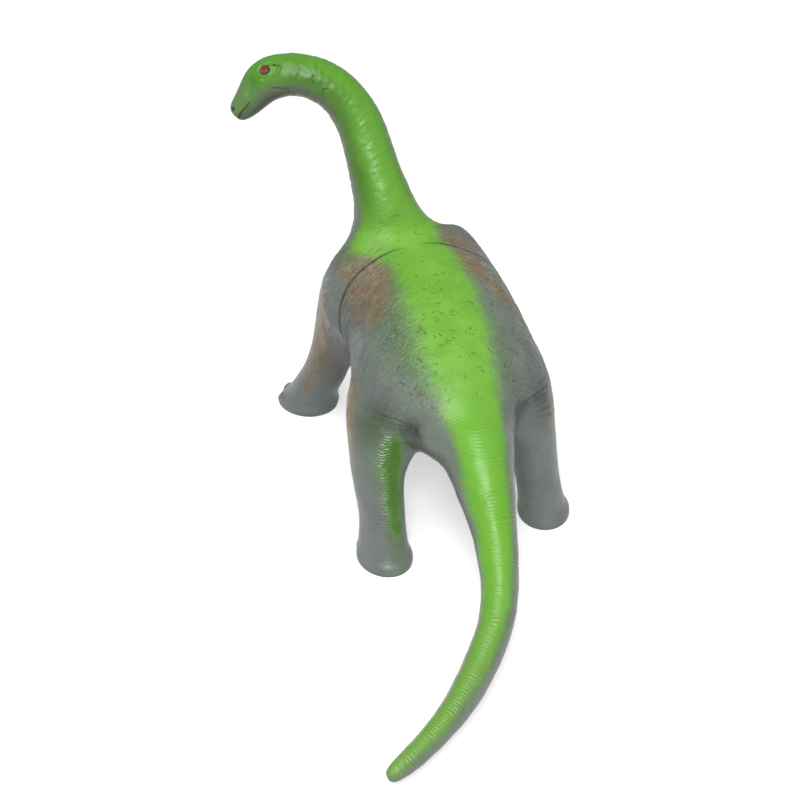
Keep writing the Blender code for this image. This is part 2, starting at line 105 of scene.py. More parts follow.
class Bench:
    # a node tree and the few ways that nodes are put on it
    def __init__(self, tree):
        self.tree = tree

    def plug(self, socket, value):
        if isinstance(value, Strand):
            self.tree.links.new(value.socket, socket)
        else:
            socket.default_value = value

    def make(self, kind, values=None, **settings):
        node = self.tree.nodes.new(kind)
        for name, setting in settings.items():
            setattr(node, name, setting)
        live = [socket for socket in node.inputs if socket.enabled]
        for key, value in (values or {}).items():
            self.plug(live[key] if isinstance(key, int) else node.inputs[key], value)
        return node

    def node(self, kind, values=None, output=0, **settings):
        made = self.make(kind, values, **settings)
        live = [socket for socket in made.outputs if socket.enabled]
        socket = live[output] if isinstance(output, int) else made.outputs[output]
        return Strand(self, socket)

    def sum(self, operation, *terms):
        return self.node("ShaderNodeMath", dict(enumerate(terms)), operation=operation)

    def step(self, value, low, high):
        values = {0: value, 1: low, 2: high, 3: 0.0, 4: 1.0}
        return self.node("ShaderNodeMapRange", values, interpolation_type="SMOOTHSTEP")

    def blend(self, share, first, second):
        values = {0: share, 1: first, 2: second}
        return self.node("ShaderNodeMix", values, data_type="RGBA", clamp_factor=True)

    def layers(self, colour, *laid):
        # lays tones over a colour one by one, each by its share
        for share, tone in laid:
            colour = self.blend(share, colour, tone)
        return colour

    def stretch(self, vector, scale):
        values = {0: vector, 1: scale}
        return self.node("ShaderNodeVectorMath", values, operation="MULTIPLY")

    def triple(self, x, y, z):
        return self.node("ShaderNodeCombineXYZ", {0: x, 1: y, 2: z})

    def parts(self, vector):
        split = self.make("ShaderNodeSeparateXYZ", {0: vector})
        return [Strand(self, socket) for socket in split.outputs]

    def larger(self, first, second):
        return self.sum("MAXIMUM", first, second)

    def noise(self, vector, scale, detail=2.0, roughness=0.5, distortion=0.0):
        values = {"Vector": vector, "Scale": scale, "Detail": detail, "Roughness": roughness,
                  "Distortion": distortion}
        return self.node("ShaderNodeTexNoise", values)

    def cells(self, vector, scale):
        # how far a place is from the middle of its cell, and a lot drawn for each cell
        made = self.make("ShaderNodeTexVoronoi", {"Vector": vector, "Scale": scale})
        return [Strand(self, made.outputs[name]) for name in ("Distance", "Color")]


# The animal's cage: rings along the body and down the legs

bodyValues = {
    "trunkLength": 220 * mm, "trunkWidth": 146 * mm, "backHeight": 195 * mm,
    "neckReach": 45 * mm, "neckSwing": 57 * mm, "neckRise": 126 * mm, "neckRadius": 20 * mm,
    "headForward": 6 * mm, "headReach": 62.5 * mm, "headDrop": 33 * mm,
    "headDepth": 36 * mm, "headWidth": 31 * mm,
    "tailReach": 233 * mm, "tailSwing": 124 * mm, "tailDrop": 96 * mm, "tailRadius": 28.5 * mm,
    "middle": (14.792 * mm, -3.557 * mm, 0.0),
    "napeHint": (-0.6, 0.0, 0.8), "crownHint": (0.40, 0.48, 0.75),
    "ringTurns": (0, 30, 60, 90, 118, 146, 180, 214, 242, 270, 300, 330),
    "levels": 4, "quickLevels": 3,
    # top forward, top up, bottom forward, bottom up, left, half width
    "trunk": (
        (-0.09, 0.70, -0.045, 0.435, 0.014, 0.24), (0.0, 0.78, 0.035, 0.425, 0.025, 0.34),
        (0.11, 0.83, 0.125, 0.40, 0.02, 0.455), (0.225, 0.875, 0.225, 0.355, -0.005, 0.52),
        (0.355, 0.915, 0.345, 0.285, -0.02, 0.53), (0.47, 0.945, 0.49, 0.265, -0.038, 0.508),
        (0.58, 0.965, 0.625, 0.275, -0.045, 0.495), (0.66, 0.97, 0.70, 0.33, -0.028, 0.503),
        (0.695, 0.975, 0.90, 0.43, 0.035, 0.51), (0.725, 0.985, 0.97, 0.565, 0.075, 0.472),
        (0.742, 1.0, 0.995, 0.71, 0.108, 0.368), (0.76, 1.05, 0.995, 0.845, 0.107, 0.225),
    ),
    # forward, left, up, radius
    "neck": (
        (-0.02, 0.06, 0.2, 1.25), (0.155, 0.13, 0.33, 1.12), (0.31, 0.18, 0.45, 1.04),
        (0.465, 0.225, 0.57, 1.0), (0.60, 0.29, 0.685, 0.97), (0.72, 0.41, 0.80, 0.955),
        (0.82, 0.575, 0.895, 0.935), (0.91, 0.775, 0.965, 0.90), (1.0, 1.0, 1.0, 0.88),
    ),
    # forward, left, drop, half depth, half width
    "head": (
        (0.5, 0.20, -0.055, 0.48, 0.55), (0.67, 0.33, -0.03, 0.49, 0.52),
        (0.83, 0.465, 0.02, 0.505, 0.49), (0.92, 0.59, 0.175, 0.475, 0.46),
        (1.0, 0.685, 0.41, 0.40, 0.40), (1.0, 0.78, 0.63, 0.34, 0.35),
        (1.0, 0.885, 0.815, 0.28, 0.285), (1.0, 0.965, 0.955, 0.18, 0.20),
    ),
    # back, left, drop, radius, from the root to the tip
    "tail": (
        (0.075, -0.008, 0.0, 1.0), (0.15, 0.008, 0.095, 0.86), (0.227, 0.01, 0.21, 0.735),
        (0.30, 0.012, 0.345, 0.605), (0.386, 0.03, 0.50, 0.54), (0.468, 0.06, 0.635, 0.49),
        (0.554, 0.128, 0.74, 0.47), (0.635, 0.232, 0.828, 0.457), (0.712, 0.352, 0.896, 0.444),
        (0.785, 0.467, 0.925, 0.40), (0.85, 0.592, 0.945, 0.355), (0.906, 0.72, 0.97, 0.325),
        (0.957, 0.858, 0.985, 0.29), (0.993, 0.965, 0.99, 0.24), (1.012, 1.02, 0.995, 0.15),
    ),
}

legValues = {
    # rows of drop, half length and half width
    "hind": {"height": 130.07 * mm, "along": 38.06 * mm, "across": 28.03 * mm, "toeOut": 16,
             "rootRing": 1, "rows": (
                 (0.0, 1.0, 1.0), (0.215, 0.84, 0.80), (0.425, 0.71, 0.71), (0.615, 0.645, 0.67),
                 (0.775, 0.605, 0.65), (0.905, 0.62, 0.68), (1.0, 0.655, 0.74))},
    "fore": {"height": 146.06 * mm, "along": 34.1 * mm, "across": 25.99 * mm, "toeOut": 38,
             "rootRing": 7, "rows": (
                 (0.0, 1.0, 1.0), (0.25, 0.76, 0.77), (0.465, 0.62, 0.71), (0.68, 0.58, 0.70),
                 (0.87, 0.69, 0.82), (1.0, 0.80, 0.93))},
    # pair, side, top and foot as forward and left in mm, how the way down bows in both
    "legs": {
        "leftHind": ("hind", 1, (44, 64.97), (-9.9, 70.96), (1.0, 0.5)),
        "rightHind": ("hind", -1, (45.98, -59.86), (14.08, -72.56), (1.0, 1.5)),
        "leftFore": ("fore", 1, (180.4, 59.13), (218.02, 85.99), (1.9, 2.0)),
        "rightFore": ("fore", -1, (202.4, -49.93), (207.02, -80.01), (1.4, 1.3)),
    },
    # the hole in the trunk's cage that a leg grows from, and how it blends in
    "rootRows": 3, "rootColumns": 2, "rootTurn": 3, "rootDrop": 0.1, "rootBlend": 0.3, "rootBulge": 0.2,
}


def way(forward, left, up):
    return Vector((left, -forward, up))


def spot(forward, left, up):
    return way(forward, left, up) - Vector(bodyValues["middle"])


def bodyRings():
    # centre, up half axis and left half axis of each ring, from the tail's tip to the snout
    v = bodyValues
    trunk = []
    for topF, topU, lowF, lowU, left, half in v["trunk"]:
        top = spot(topF * v["trunkLength"], left * v["trunkWidth"], topU * v["backHeight"])
        low = spot(lowF * v["trunkLength"], left * v["trunkWidth"], lowU * v["backHeight"])
        trunk.append(((top + low) / 2, (top - low) / 2, half * v["trunkWidth"]))

    def limb(root, rows, reach, deep, wide):
        made = []
        for forward, left, up, *girths in rows:
            centre = root + way(forward * reach[0], left * reach[1], up * reach[2])
            made.append((centre, girths[0] * deep, girths[-1] * wide))
        return made
    tail = limb(trunk[0][0], reversed(v["tail"]), (-v["tailReach"], v["tailSwing"], -v["tailDrop"]),
                v["tailRadius"], v["tailRadius"])
    neck = limb(trunk[-1][0], v["neck"], (v["neckReach"], v["neckSwing"], v["neckRise"]),
                v["neckRadius"], v["neckRadius"])
    head = limb(neck[-1][0], v["head"], (v["headForward"], v["headReach"], -v["headDrop"]),
                v["headDepth"], v["headWidth"])
    path = tail + trunk + neck + head
    firstNeck = len(tail) + len(trunk)
    overBack = way(*v["napeHint"])
    crown = way(*v["crownHint"])
    rings = []
    for index, (centre, tall, wide) in enumerate(path):
        before = path[max(index - 1, 0)][0]
        after = path[min(index + 1, len(path) - 1)][0]
        ahead = (after - before).normalized()
        if isinstance(tall, Vector):
            up = tall
        else:
            turn = min(max((index - firstNeck) / len(neck), 0.0), 1.0)
            hint = overBack.lerp(crown, turn) if index >= firstNeck else way(0.0, 0.0, 1.0)
            up = (hint - ahead * hint.dot(ahead)).normalized() * tall
        left = up.cross(ahead).normalized() * wide
        rings.append((centre, up, left))
    return rings


rings = bodyRings()
firstTrunk = len(bodyValues["tail"])
firstNeck = firstTrunk + len(bodyValues["trunk"])
firstHead = firstNeck + len(bodyValues["neck"])


def spotMm(place, side=1):
    # forward, left and up in mm; side -1 is the same place on the right
    return spot(place[0] * mm, place[1] * side * mm, place[2] * mm)


def bodyPoint(ring, degrees, reach=1.0):
    first = min(max(int(ring), 0), len(rings) - 2)
    share = ring - first
    centre, up, left = (a.lerp(b, share) for a, b in zip(rings[first], rings[first + 1]))
    turn = math.radians(degrees)
    return centre + (up * math.cos(turn) + left * math.sin(turn)) * reach


def legPoint(name, height, angle):
    pair, side, top, foot, (strideBow, sideBow) = legValues["legs"][name]
    sizes = legValues[pair]
    drop = min(max(1 - height / sizes["height"], 0.0), 1.0)
    drops, longs, wides = zip(*sizes["rows"])
    along = np.interp(drop, drops, longs) * sizes["along"]
    across = np.interp(drop, drops, wides) * sizes["across"]
    turn = Matrix.Rotation(side * math.radians(sizes["toeOut"]) * drop, 3, "Z")
    offset = turn @ way(math.sin(angle) * along, math.cos(angle) * across * side, 0.0)
    centre = spot(
        (top[0] + (foot[0] - top[0]) * drop ** strideBow) * mm,
        (top[1] + (foot[1] - top[1]) * drop ** sideBow) * mm,
        height,
    )
    return centre + offset


def swell(count):
    return 3 / (2 + math.cos(math.tau / count))


class Cage:
    # the coarse cage, with what each of its points is on the animal kept beside it
    names = ("ring", "upward", "leftward", "leg", "legOut", "legAhead")

    def __init__(self):
        self.shape = bmesh.new()
        self.crease = self.shape.edges.layers.float.new("crease_edge")
        self.layers = {name: self.shape.verts.layers.float.new(name) for name in self.names}

    def point(self, place, **facts):
        vert = self.shape.verts.new(place)
        for name, value in facts.items():
            vert[self.layers[name]] = value
        return vert

    def fact(self, vert, name):
        return vert[self.layers[name]]

    def bridge(self, ringA, ringB, skip=()):
        count = len(ringA)
        for k in range(count):
            if k not in skip:
                n = (k + 1) % count
                self.shape.faces.new((ringA[k], ringB[k], ringB[n], ringA[n]))

    def addLeg(self, name, loop):
        rows = legValues[legValues["legs"][name][0]]["rows"]
        step = math.tau / len(loop)
        angles = [(k - legValues["rootRows"] / 2) * step for k in range(len(loop))]
        grow = swell(len(loop))
        previous = loop
        for row, (drop, _, _) in enumerate(rows):
            ring = []
            for angle, edge in zip(angles, loop):
                height = edge.co.z * (1 - max(drop, legValues["rootDrop"]))
                point = legPoint(name, height, angle)
                centre = (point + legPoint(name, height, angle + math.pi)) / 2
                point = centre + (point - centre) * grow
                if row == 0:
                    outer = max(math.cos(angle), 0.0) * legValues["rootBulge"]
                    point = edge.co.lerp(point, legValues["rootBlend"] + outer)
                ring.append(self.point(
                    point, ring=self.fact(edge, "ring"), upward=self.fact(edge, "upward"),
                    leftward=self.fact(edge, "leftward"), leg=1.0,
                    legOut=math.cos(angle), legAhead=math.sin(angle)))
            self.bridge(previous, ring)
            previous = ring
        for k, vert in enumerate(loop):
            vert[self.layers["legOut"]] = math.cos(angles[k])
            vert[self.layers["legAhead"]] = math.sin(angles[k])
        self.shape.faces.new(previous)
        for k, vert in enumerate(previous):
            self.shape.edges.get((vert, previous[(k + 1) % len(previous)]))[self.crease] = 1.0


def buildCage():
    cage = Cage()
    turns = [math.radians(turn) for turn in bodyValues["ringTurns"]]
    grow = swell(len(turns))
    loops = []
    for index, (centre, up, left) in enumerate(rings):
        loops.append([
            cage.point(centre + (up * math.cos(a) + left * math.sin(a)) * grow,
                       ring=index, upward=math.cos(a), leftward=math.sin(a))
            for a in turns])
    rows, columns, outer = (legValues[name] for name in ("rootRows", "rootColumns", "rootTurn"))
    roots = {pair: firstTrunk + legValues[pair]["rootRing"] for pair in ("hind", "fore")}
    for index in range(len(loops) - 1):
        skip = set()
        for first in roots.values():
            if first <= index < first + rows:
                for column in range(outer, outer + columns):
                    skip |= {column, len(turns) - 1 - column}
        cage.bridge(loops[index], loops[index + 1], skip)
    cage.shape.faces.new(loops[0])
    cage.shape.faces.new(loops[-1])
    for name, (pair, side, _, _, _) in legValues["legs"].items():
        first = roots[pair]

        def at(row, column):
            return loops[first + row][(side * (outer + column)) % len(turns)]
        loop = [at(row, 0) for row in range(rows)]
        loop += [at(rows, column) for column in range(columns)]
        loop += [at(row, columns) for row in range(rows, 0, -1)]
        loop += [at(0, column) for column in range(columns, 0, -1)]
        cage.addLeg(name, loop)
    bmesh.ops.recalc_face_normals(cage.shape, faces=cage.shape.faces)
    return cage.shape


# Mesh helpers

def newObject(name, mesh):
    obj = bpy.data.objects.new(name, mesh)
    bpy.context.scene.collection.objects.link(obj)
    return obj


def meshFrom(shape, name):
    mesh = bpy.data.meshes.new(name)
    shape.to_mesh(mesh)
    shape.free()
    return mesh


def settle(obj):
    # turns the modifiers into plain mesh
    graph = bpy.context.evaluated_depsgraph_get()
    mesh = bpy.data.meshes.new_from_object(obj.evaluated_get(graph), preserve_all_data_layers=True,
                                           depsgraph=graph)
    obj.modifiers.clear()
    old = obj.data
    obj.data = mesh
    bpy.data.meshes.remove(old)
    return obj


def threes(rows, name):
    flat = np.empty(len(rows) * 3, np.float32)
    rows.foreach_get(name, flat)
    return flat.reshape(-1, 3).astype(float)


def places(mesh):
    return threes(mesh.vertices, "co")


def normals(mesh):
    return threes(mesh.vertex_normals, "vector")


def putPlaces(mesh, points):
    mesh.vertices.foreach_set("co", np.ascontiguousarray(points, np.float32).ravel())
    mesh.update()


def fact(mesh, name):
    values = np.empty(len(mesh.vertices), np.float32)
    mesh.attributes[name].data.foreach_get("value", values)
    return values.astype(float)


def putFact(mesh, name, values):
    if name in mesh.attributes:
        mesh.attributes.remove(mesh.attributes[name])
    flat = np.ascontiguousarray(values, np.float32)
    if flat.ndim == 1:
        layer = mesh.attributes.new(name, "FLOAT", "POINT")
        layer.data.foreach_set("value", flat)
    else:
        layer = mesh.attributes.new(name, "FLOAT_VECTOR", "POINT")
        layer.data.foreach_set("vector", flat.ravel())


def bell(values, middle, spread):
    return np.exp(-((values - middle) / spread) ** 2)


def smoothShare(values, low, high):
    share = np.clip((values - low) / (high - low), 0.0, 1.0)
    return share * share * (3 - 2 * share)


# The skin's form

body = newObject("body", meshFrom(buildCage(), "body"))
smooth = body.modifiers.new("smooth", "SUBSURF")
smooth.levels = smooth.render_levels = bodyValues["levels"]
settle(body)

refineValues = {"ringStep": 0.03, "tailTo": 14.2, "neckFrom": 26.5, "backAbove": -0.25,
                "legFrom": 0.6, "legStep": 1.0 * mm, "legSteep": 0.6, "mostTriangles": 190000}


def refine(mesh):
    # more rows across the tail, the neck and the legs, and a closer mesh over the back
    v = refineValues
    shape = bmesh.new()
    shape.from_mesh(mesh)
    layers = shape.verts.layers.float
    ring, up, leg = (layers.get(name) for name in ("ring", "upward", "leg"))
    chosen = []
    for edge in shape.edges:
        first, second = edge.verts
        if first[leg] + second[leg] > 0:
            drop = abs(first.co.z - second.co.z)
            steep = drop > v["legSteep"] * edge.calc_length() and drop > v["legStep"]
            if min(first[leg], second[leg]) > v["legFrom"] and steep:
                chosen.append(edge)
            continue
        place = (first[ring] + second[ring]) / 2
        if place < v["tailTo"] or place > v["neckFrom"]:
            if abs(first[ring] - second[ring]) > v["ringStep"]:
                chosen.append(edge)
        elif min(first[up], second[up]) > v["backAbove"]:
            chosen.append(edge)
    bmesh.ops.subdivide_edges(shape, edges=chosen, cuts=1, use_grid_fill=True)
    shape.to_mesh(mesh)
    shape.free()


refine(body.data)
print("smoothed body:", len(body.data.polygons), "faces")


skinTree = BVHTree.FromPolygons([tuple(vert.co) for vert in body.data.vertices],
                                [tuple(face.vertices) for face in body.data.polygons])


def onSkin(point):
    # the nearest point of the smooth skin
    return skinTree.find_nearest(point)[0]


# Folds pressed into both sides of the skin: width, depth and lip in mm, then the path, either as
# ring and degrees left of the spine or as forward, left and up in mm. A depth below 0 is a ridge.
foldValues = {
    "mouth": (0.7, 1.3, 0.5, ((40.2, 99), (41.0, 97), (42.0, 101), (42.5, 112), (43.0, 150))),
    "lidCrease": (0.8, 1.2, 0.35, ((37.9, 50), (37.5, 52), (37.0, 60), (36.8, 68))),
    "upperLid": (1.0, -1.0, 0.0, ((38.7, 52), (38.2, 40), (37.6, 41), (37.1, 50))),
    "lowerLid": (0.8, -0.7, 0.0, ((38.6, 70), (38.1, 78), (37.6, 74))),
    "cheekRidge": (1.4, -1.2, 0.0, ((36.75, 58), (37.1, 76), (37.9, 92))),
    "jawRidge": (1.2, -1.1, 0.0, ((38.4, 77), (38.85, 86), (39.3, 93))),
    "cheekHollow": (3.0, 1.5, 0.0, ((38.9, 64), (40.4, 74))),
    "throatFold": (1.1, 0.6, 0.25, ((38.4, 112), (37.3, 122), (36.6, 138))),
    "napeFoldA": (1.0, 0.6, 0.25, ((34.6, 62), (34.7, 80), (34.4, 98))),
    "napeFoldB": (0.9, 0.6, 0.25, ((33.6, 70), (33.9, 90), (33.5, 112))),
    "thighFoldA": (0.75, 0.9, 0.35, ((33, 78, 118), (20, 67, 121), (7, 56, 123), (-5, 47, 122))),
    "thighFoldB": (0.6, 0.7, 0.3, ((28, 78, 114), (17, 67, 118), (5, 56, 119), (-5, 47, 120))),
    "thighFoldC": (0.6, 0.7, 0.3, ((24, 79, 109), (13, 68, 114), (4, 57, 115), (-5, 47, 118))),
    "thighFoldD": (0.6, 0.6, 0.3, ((20, 81, 104), (11, 71, 108), (4, 59, 110), (-4, 49, 114))),
    "thighFoldE": (0.6, 0.5, 0.25, ((17, 82, 98), (9, 74, 102), (3, 63, 105), (-3, 52, 110))),
    "thighFoldF": (0.6, 0.5, 0.25, ((41, 76, 122), (24, 66, 125), (13, 59, 127))),
    "rumpFold": (0.9, 0.8, 0.2, ((-5, 46, 127), (-6, 46, 119), (-12, 42, 114), (-18, 37, 108))),
    "rumpFoldB": (0.8, 0.5, 0.2, ((0, 46, 133), (-6, 44, 125), (-13, 37, 128))),
    "flankFoldA": (1.2, 0.8, 0.3, ((72, 70, 132), (66, 74, 116), (60, 73, 98))),
    "flankFoldB": (1.0, 0.6, 0.3, ((80, 69, 128), (76, 73, 112), (72, 71, 98))),
    "flankFoldC": (1.0, 0.5, 0.3, ((64, 74, 138), (58, 79, 122), (50, 82, 108))),
    "armFoldA": (0.9, 0.7, 0.3, ((150, 69, 132), (156, 72, 118), (164, 74, 108))),
    "armFoldB": (0.8, 0.5, 0.25, ((154, 70, 110), (162, 73, 101), (170, 76, 94))),
    "shoulderFold": (1.6, 0.8, 0.2, ((172, 50, 184), (176, 62, 170), (174, 72, 152))),
}

# Swells and hollows of the flesh: forward, left, up in mm, radius, height, and on which sides.
fleshValues = {
    "hipHollow": ((-4, 48, 118), 9, -3.4, (1, -1)),
    "leftShoulder": ((172, 62, 168), 17, 3.4, (1,)),
    "leftShoulderBack": ((160, 70, 150), 16, 2.2, (1,)),
    "rightShoulderTop": ((158, -40, 184), 16, -1.6, (1,)),
    "thigh": ((44, 84, 112), 22, 2.0, (1, -1)),
    "thighFront": ((66, 68, 96), 9, -1.4, (1, -1)),
    "knee": ((40, 86, 62), 13, 2.2, (1, -1)),
    "hock": ((2, 92, 34), 15, -2.6, (1,)),
    "elbow": ((164, 74, 92), 11, 2.4, (1, -1)),
    "armpit": ((150, 58, 86), 10, -2.2, (1, -1)),
    "foreSole": ((191, 67, 15), 16, -4.4, (1,)),
    "brow": ((236, 106, 326), 3.2, 0.7, (1,)),
}

# How folds fade at their ends, where the lip rises, how far they reach, and which get painted shade in
# their grooves.
pressValues = {
    "pathSteps": 12, "endFade": (-0.02, 0.25), "lipAway": 1.9, "reachWidths": 3, "reachMore": 3 * mm,
    "shadedBelow": 2, "soleFade": 4 * mm,
}


def foldLine(path, sign):
    points = []
    steps = pressValues["pathSteps"]
    for first, second in zip(path, path[1:]):
        for k in range(steps):
            step = [a + (b - a) * k / steps for a, b in zip(first, second)]
            flat = len(step) == 2
            points.append(onSkin(bodyPoint(step[0], step[1] * sign) if flat else spotMm(step, sign)))
    return np.array([tuple(point) for point in points])


def nearLine(points, outward, line, reach):
    # each point's distance to a line, measured along the skin, and how far along the line it is
    low, high = line.min(axis=0) - reach, line.max(axis=0) + reach
    inside = np.nonzero(((points > low) & (points < high)).all(axis=1))[0]
    gap = points[inside][:, None, :] - line[None, :, :]
    deep = (gap * outward[inside][:, None, :]).sum(axis=2)
    far = (gap ** 2).sum(axis=2)
    flat = np.sqrt(np.maximum(far - deep ** 2, 0.0))
    flat[np.sqrt(far) > reach] = 1.0
    pick = flat.argmin(axis=1)
    return inside, flat[np.arange(len(inside)), pick], pick / (len(line) - 1)


def pressFolds(mesh):
    v = pressValues
    points, outward = places(mesh), normals(mesh)
    lift, darkAndShade = np.zeros(len(points)), np.zeros(len(points))
    for wide, depth, lip, path in foldValues.values():
        width = wide * mm
        reach = width * v["reachWidths"] + v["reachMore"]
        for sign in (1, -1):
            inside, gap, along = nearLine(points, outward, foldLine(path, sign), reach)
            ends = np.minimum(*(smoothShare(share, *v["endFade"]) for share in (along, 1 - along)))
            groove = bell(gap, 0.0, width) * ends
            lift[inside] -= depth * groove * mm
            lift[inside] += lip * bell(gap, v["lipAway"] * width, width) * ends * mm
            # narrow grooves get painted shade in their bottoms, as dark as they are deep
            if depth > 0 and wide < v["shadedBelow"]:
                darkAndShade[inside] = np.maximum(darkAndShade[inside], groove * min(depth, 1.0))
    for place, radius, height, sides in fleshValues.values():
        for side in sides:
            middle = np.array(onSkin(spotMm(place, side)))
            far = ((points - middle) ** 2).sum(axis=1) / (radius * mm) ** 2
            lift += height * mm * np.exp(-far)
    lift *= smoothShare(points[:, 2], 0.0, v["soleFade"])
    putPlaces(mesh, points + outward * lift[:, None])
    putFact(mesh, "foldShade", darkAndShade)


# Three blunt toes with nails on each foot: degrees off the foot's front, the rest in mm.
toeValues = {
    "turns": (-38, 0, 38), "lift": 4.6, "halfWidth": 6.0, "halfHeight": 5.6, "blunt": 1.5,
    "swell": (0.5, 1.4, 0.5), "reach": 16, "sideStep": 0.2,
    "nailWidth": 3.6, "nailHeight": 3.4, "nailLift": 4.2, "nailRise": 0.7, "nailDome": 0.3,
    "nailEdge": (0.75, 1.15),
    "cleft": 1.6, "cleftWidth": 1.4, "cleftTurn": 18, "cleftReach": 14, "cleftTop": 12, "cleftFade": 7.0,
    "pad": 2.0, "padHeight": 4.2, "padReach": 5.0, "padFront": (-0.2, 0.6), "padLess": 0.85,
    "soleFade": (-0.9, -0.5),
}


def shapeToes(mesh):
    points, outward = places(mesh), normals(mesh)
    v = toeValues
    high = points[:, 2] / mm
    lift, nail = np.zeros(len(points)), np.zeros(len(points))
    for name in legValues["legs"]:
        for index, turn in enumerate(v["turns"]):
            angle = math.radians(90 - turn)
            middle = np.array(legPoint(name, v["lift"] * mm, angle))
            side = np.array(legPoint(name, v["lift"] * mm, angle + v["sideStep"])) - middle
            side = side / np.linalg.norm(side)
            gap = (points - middle) / mm
            near = np.linalg.norm(gap, axis=1) < v["reach"]
            across = gap @ side
            ball = (across / v["halfWidth"]) ** 2 + ((high - v["lift"]) / v["halfHeight"]) ** 2
            lift += near * v["swell"][index] * np.exp(-ball ** v["blunt"])
            oval = (across / v["nailWidth"]) ** 2 + ((high - v["nailLift"]) / v["nailHeight"]) ** 2
            plate = (1 - smoothShare(oval, *v["nailEdge"])) * near
            lift += v["nailRise"] * plate * (1 + v["nailDome"] * (1 - oval))
            nail = np.maximum(nail, plate)
            if index:
                edge = np.array(legPoint(name, 0.0, angle + math.radians(v["cleftTurn"])))
                away = (points - edge) / mm
                cleft = bell(away @ side, 0.0, v["cleftWidth"])
                cleft *= np.linalg.norm(away, axis=1) < v["cleftReach"]
                lift -= v["cleft"] * cleft * smoothShare(v["cleftTop"] - high, 0.0, v["cleftFade"])
    # the pad under the shank spreads a little, least of all in front
    forward = smoothShare(outward @ np.array(way(1.0, 0.0, 0.0)), *v["padFront"])
    pad = v["pad"] * bell(high, v["padHeight"], v["padReach"])
    lift += pad * (1 - v["padLess"] * forward) * fact(mesh, "leg")
    lift *= smoothShare(outward[:, 2], *v["soleFade"]) * mm
    putPlaces(mesh, points + outward * lift[:, None])
    putFact(mesh, "nail", nail)


pressFolds(body.data)
shapeToes(body.data)
print("folds, flesh and toes shaped")


# Paint and relief masks kept on the skin

paintValues = {
    # ring, then how far the green runs down the left and the right side, in degrees
    "stripe": (
        (0, 60, -53), (1.4, 60, -45), (3.4, 55, -45), (5.3, 44, -40), (6.4, 44, -50), (7.3, 52, -50),
        (8.0, 60, -44), (8.7, 70, -38), (10.2, 68, -38), (11.6, 64, -41), (12.6, 57, -40),
        (13.4, 51, -41), (14.7, 37, -40), (15.7, 27, -33), (16.6, 23, -26), (17.4, 20, -23),
        (18.4, 20, -22), (19.4, 24, -20), (20.7, 28, -18), (22.0, 26, -18), (23.0, 25, -20),
        (24.3, 30, -32), (25.0, 48, -55), (25.8, 62, -75), (26.6, 70, -85), (27.4, 72, -92),
        (28.9, 72, -98), (30.0, 80, -102), (31.2, 84, -106), (32.1, 90, -108), (33.1, 96, -110),
        (34, 108, -110), (35, 110, -110), (36.3, 110, -110), (38.0, 103, -103), (39.2, 97, -97),
        (41, 90, -90), (43, 80, -80)),
    # forward, left, up in mm at both ends, radius, and how thickly it is sprayed
    "green": (
        ((2, 60, 101), (-3, 61, 88), 9.0, 1.0), ((-3, 61, 88), (-10, 62, 58), 9.0, 1.0),
        ((-10, 62, 58), (-18, 62, 36), 8.5, 0.85), ((-18, 62, 36), (-28, 64, 10), 8.0, 0.50),
        ((26, 76, 114), (6, 58, 116), 13.0, 0.48), ((12, 76, 100), (0, 72, 78), 10.0, 0.50),
        ((175, 77, 78), (180, 80, 66), 9.0, 0.35), ((56, 34, 168), (8, 36, 148), 12.0, 0.50),
        ((60, -36, 166), (10, -34, 146), 10.0, 0.40), ((168, 40, 192), (168, 56, 178), 11.0, 0.50),
        ((150, 26, 188), (96, 34, 176), 7.0, 0.50), ((44, -60, 112), (20, -64, 84), 9.0, 0.2)),
    "brown": (
        ((152, 28, 186), (132, 42, 174), 13.0, 0.6), ((128, 42, 172), (100, 47, 163), 17.0, 0.75),
        ((140, 60, 160), (122, 60, 150), 12.0, 0.5), ((162, 38, 184), (158, 60, 172), 12.0, 0.6),
        ((156, -26, 186), (128, -38, 178), 13.0, 0.7), ((128, -40, 178), (96, -55, 164), 14.0, 0.75),
        ((166, -38, 184), (160, -58, 170), 10.0, 0.4), ((110, -64, 156), (88, -68, 150), 10.0, 0.4),
        ((172, 80, 130), (186, 82, 76), 12.0, 0.95), ((166, 80, 124), (178, 81, 72), 10.0, 0.8),
        ((186, 83, 66), (194, 90, 36), 9.0, 0.7),
        ((168, -72, 122), (186, -76, 70), 10.0, 0.7), ((86, 74, 124), (54, 83, 116), 8.0, 0.5),
        ((54, 83, 116), (32, 89, 98), 9.0, 0.8), ((32, 89, 98), (24, 91, 76), 7.0, 0.7),
        ((14, -70, 110), (12, -76, 92), 9.0, 0.4)),
    # where the paint dried glossier
    "gloss": (((4, 68, 106), (-6, 69, 76), 9.0, 1.0), ((-6, 69, 76), (-14, 69, 40), 8.0, 0.9),
              ((16, -62, 96), (2, -62, 60), 8.0, 0.45), ((2, -62, 60), (-4, -64, 30), 7.0, 0.35)),
    # dark paint on the nostrils and lids, and painted shade in front of and below each eye: ring,
    # degrees, radius and strength
    "dark": ((42.35, 54, 1.9, 1.0), (42.35, -54, 1.9, 1.0), (38.9, 66, 6.0, 0.16),
             (38.9, -66, 6.0, 0.16), (37.3, 55, 1.3, 0.7), (37.3, -55, 1.3, 0.7)),
    # painted shade in the hollows of the hip, thigh and shoulder and over the forelegs: forward, left,
    # up, radius and strength
    "shade": (((-4, 48, 118), 11, 0.85), ((20, 68, 112), 18, 0.52), ((166, 78, 108), 24, 0.38),
              ((140, 66, 122), 12, 0.25), ((178, 78, 72), 44, 0.34)),
    "sprayFall": 0.9, "touchEdge": (0.6, 1.4),
}

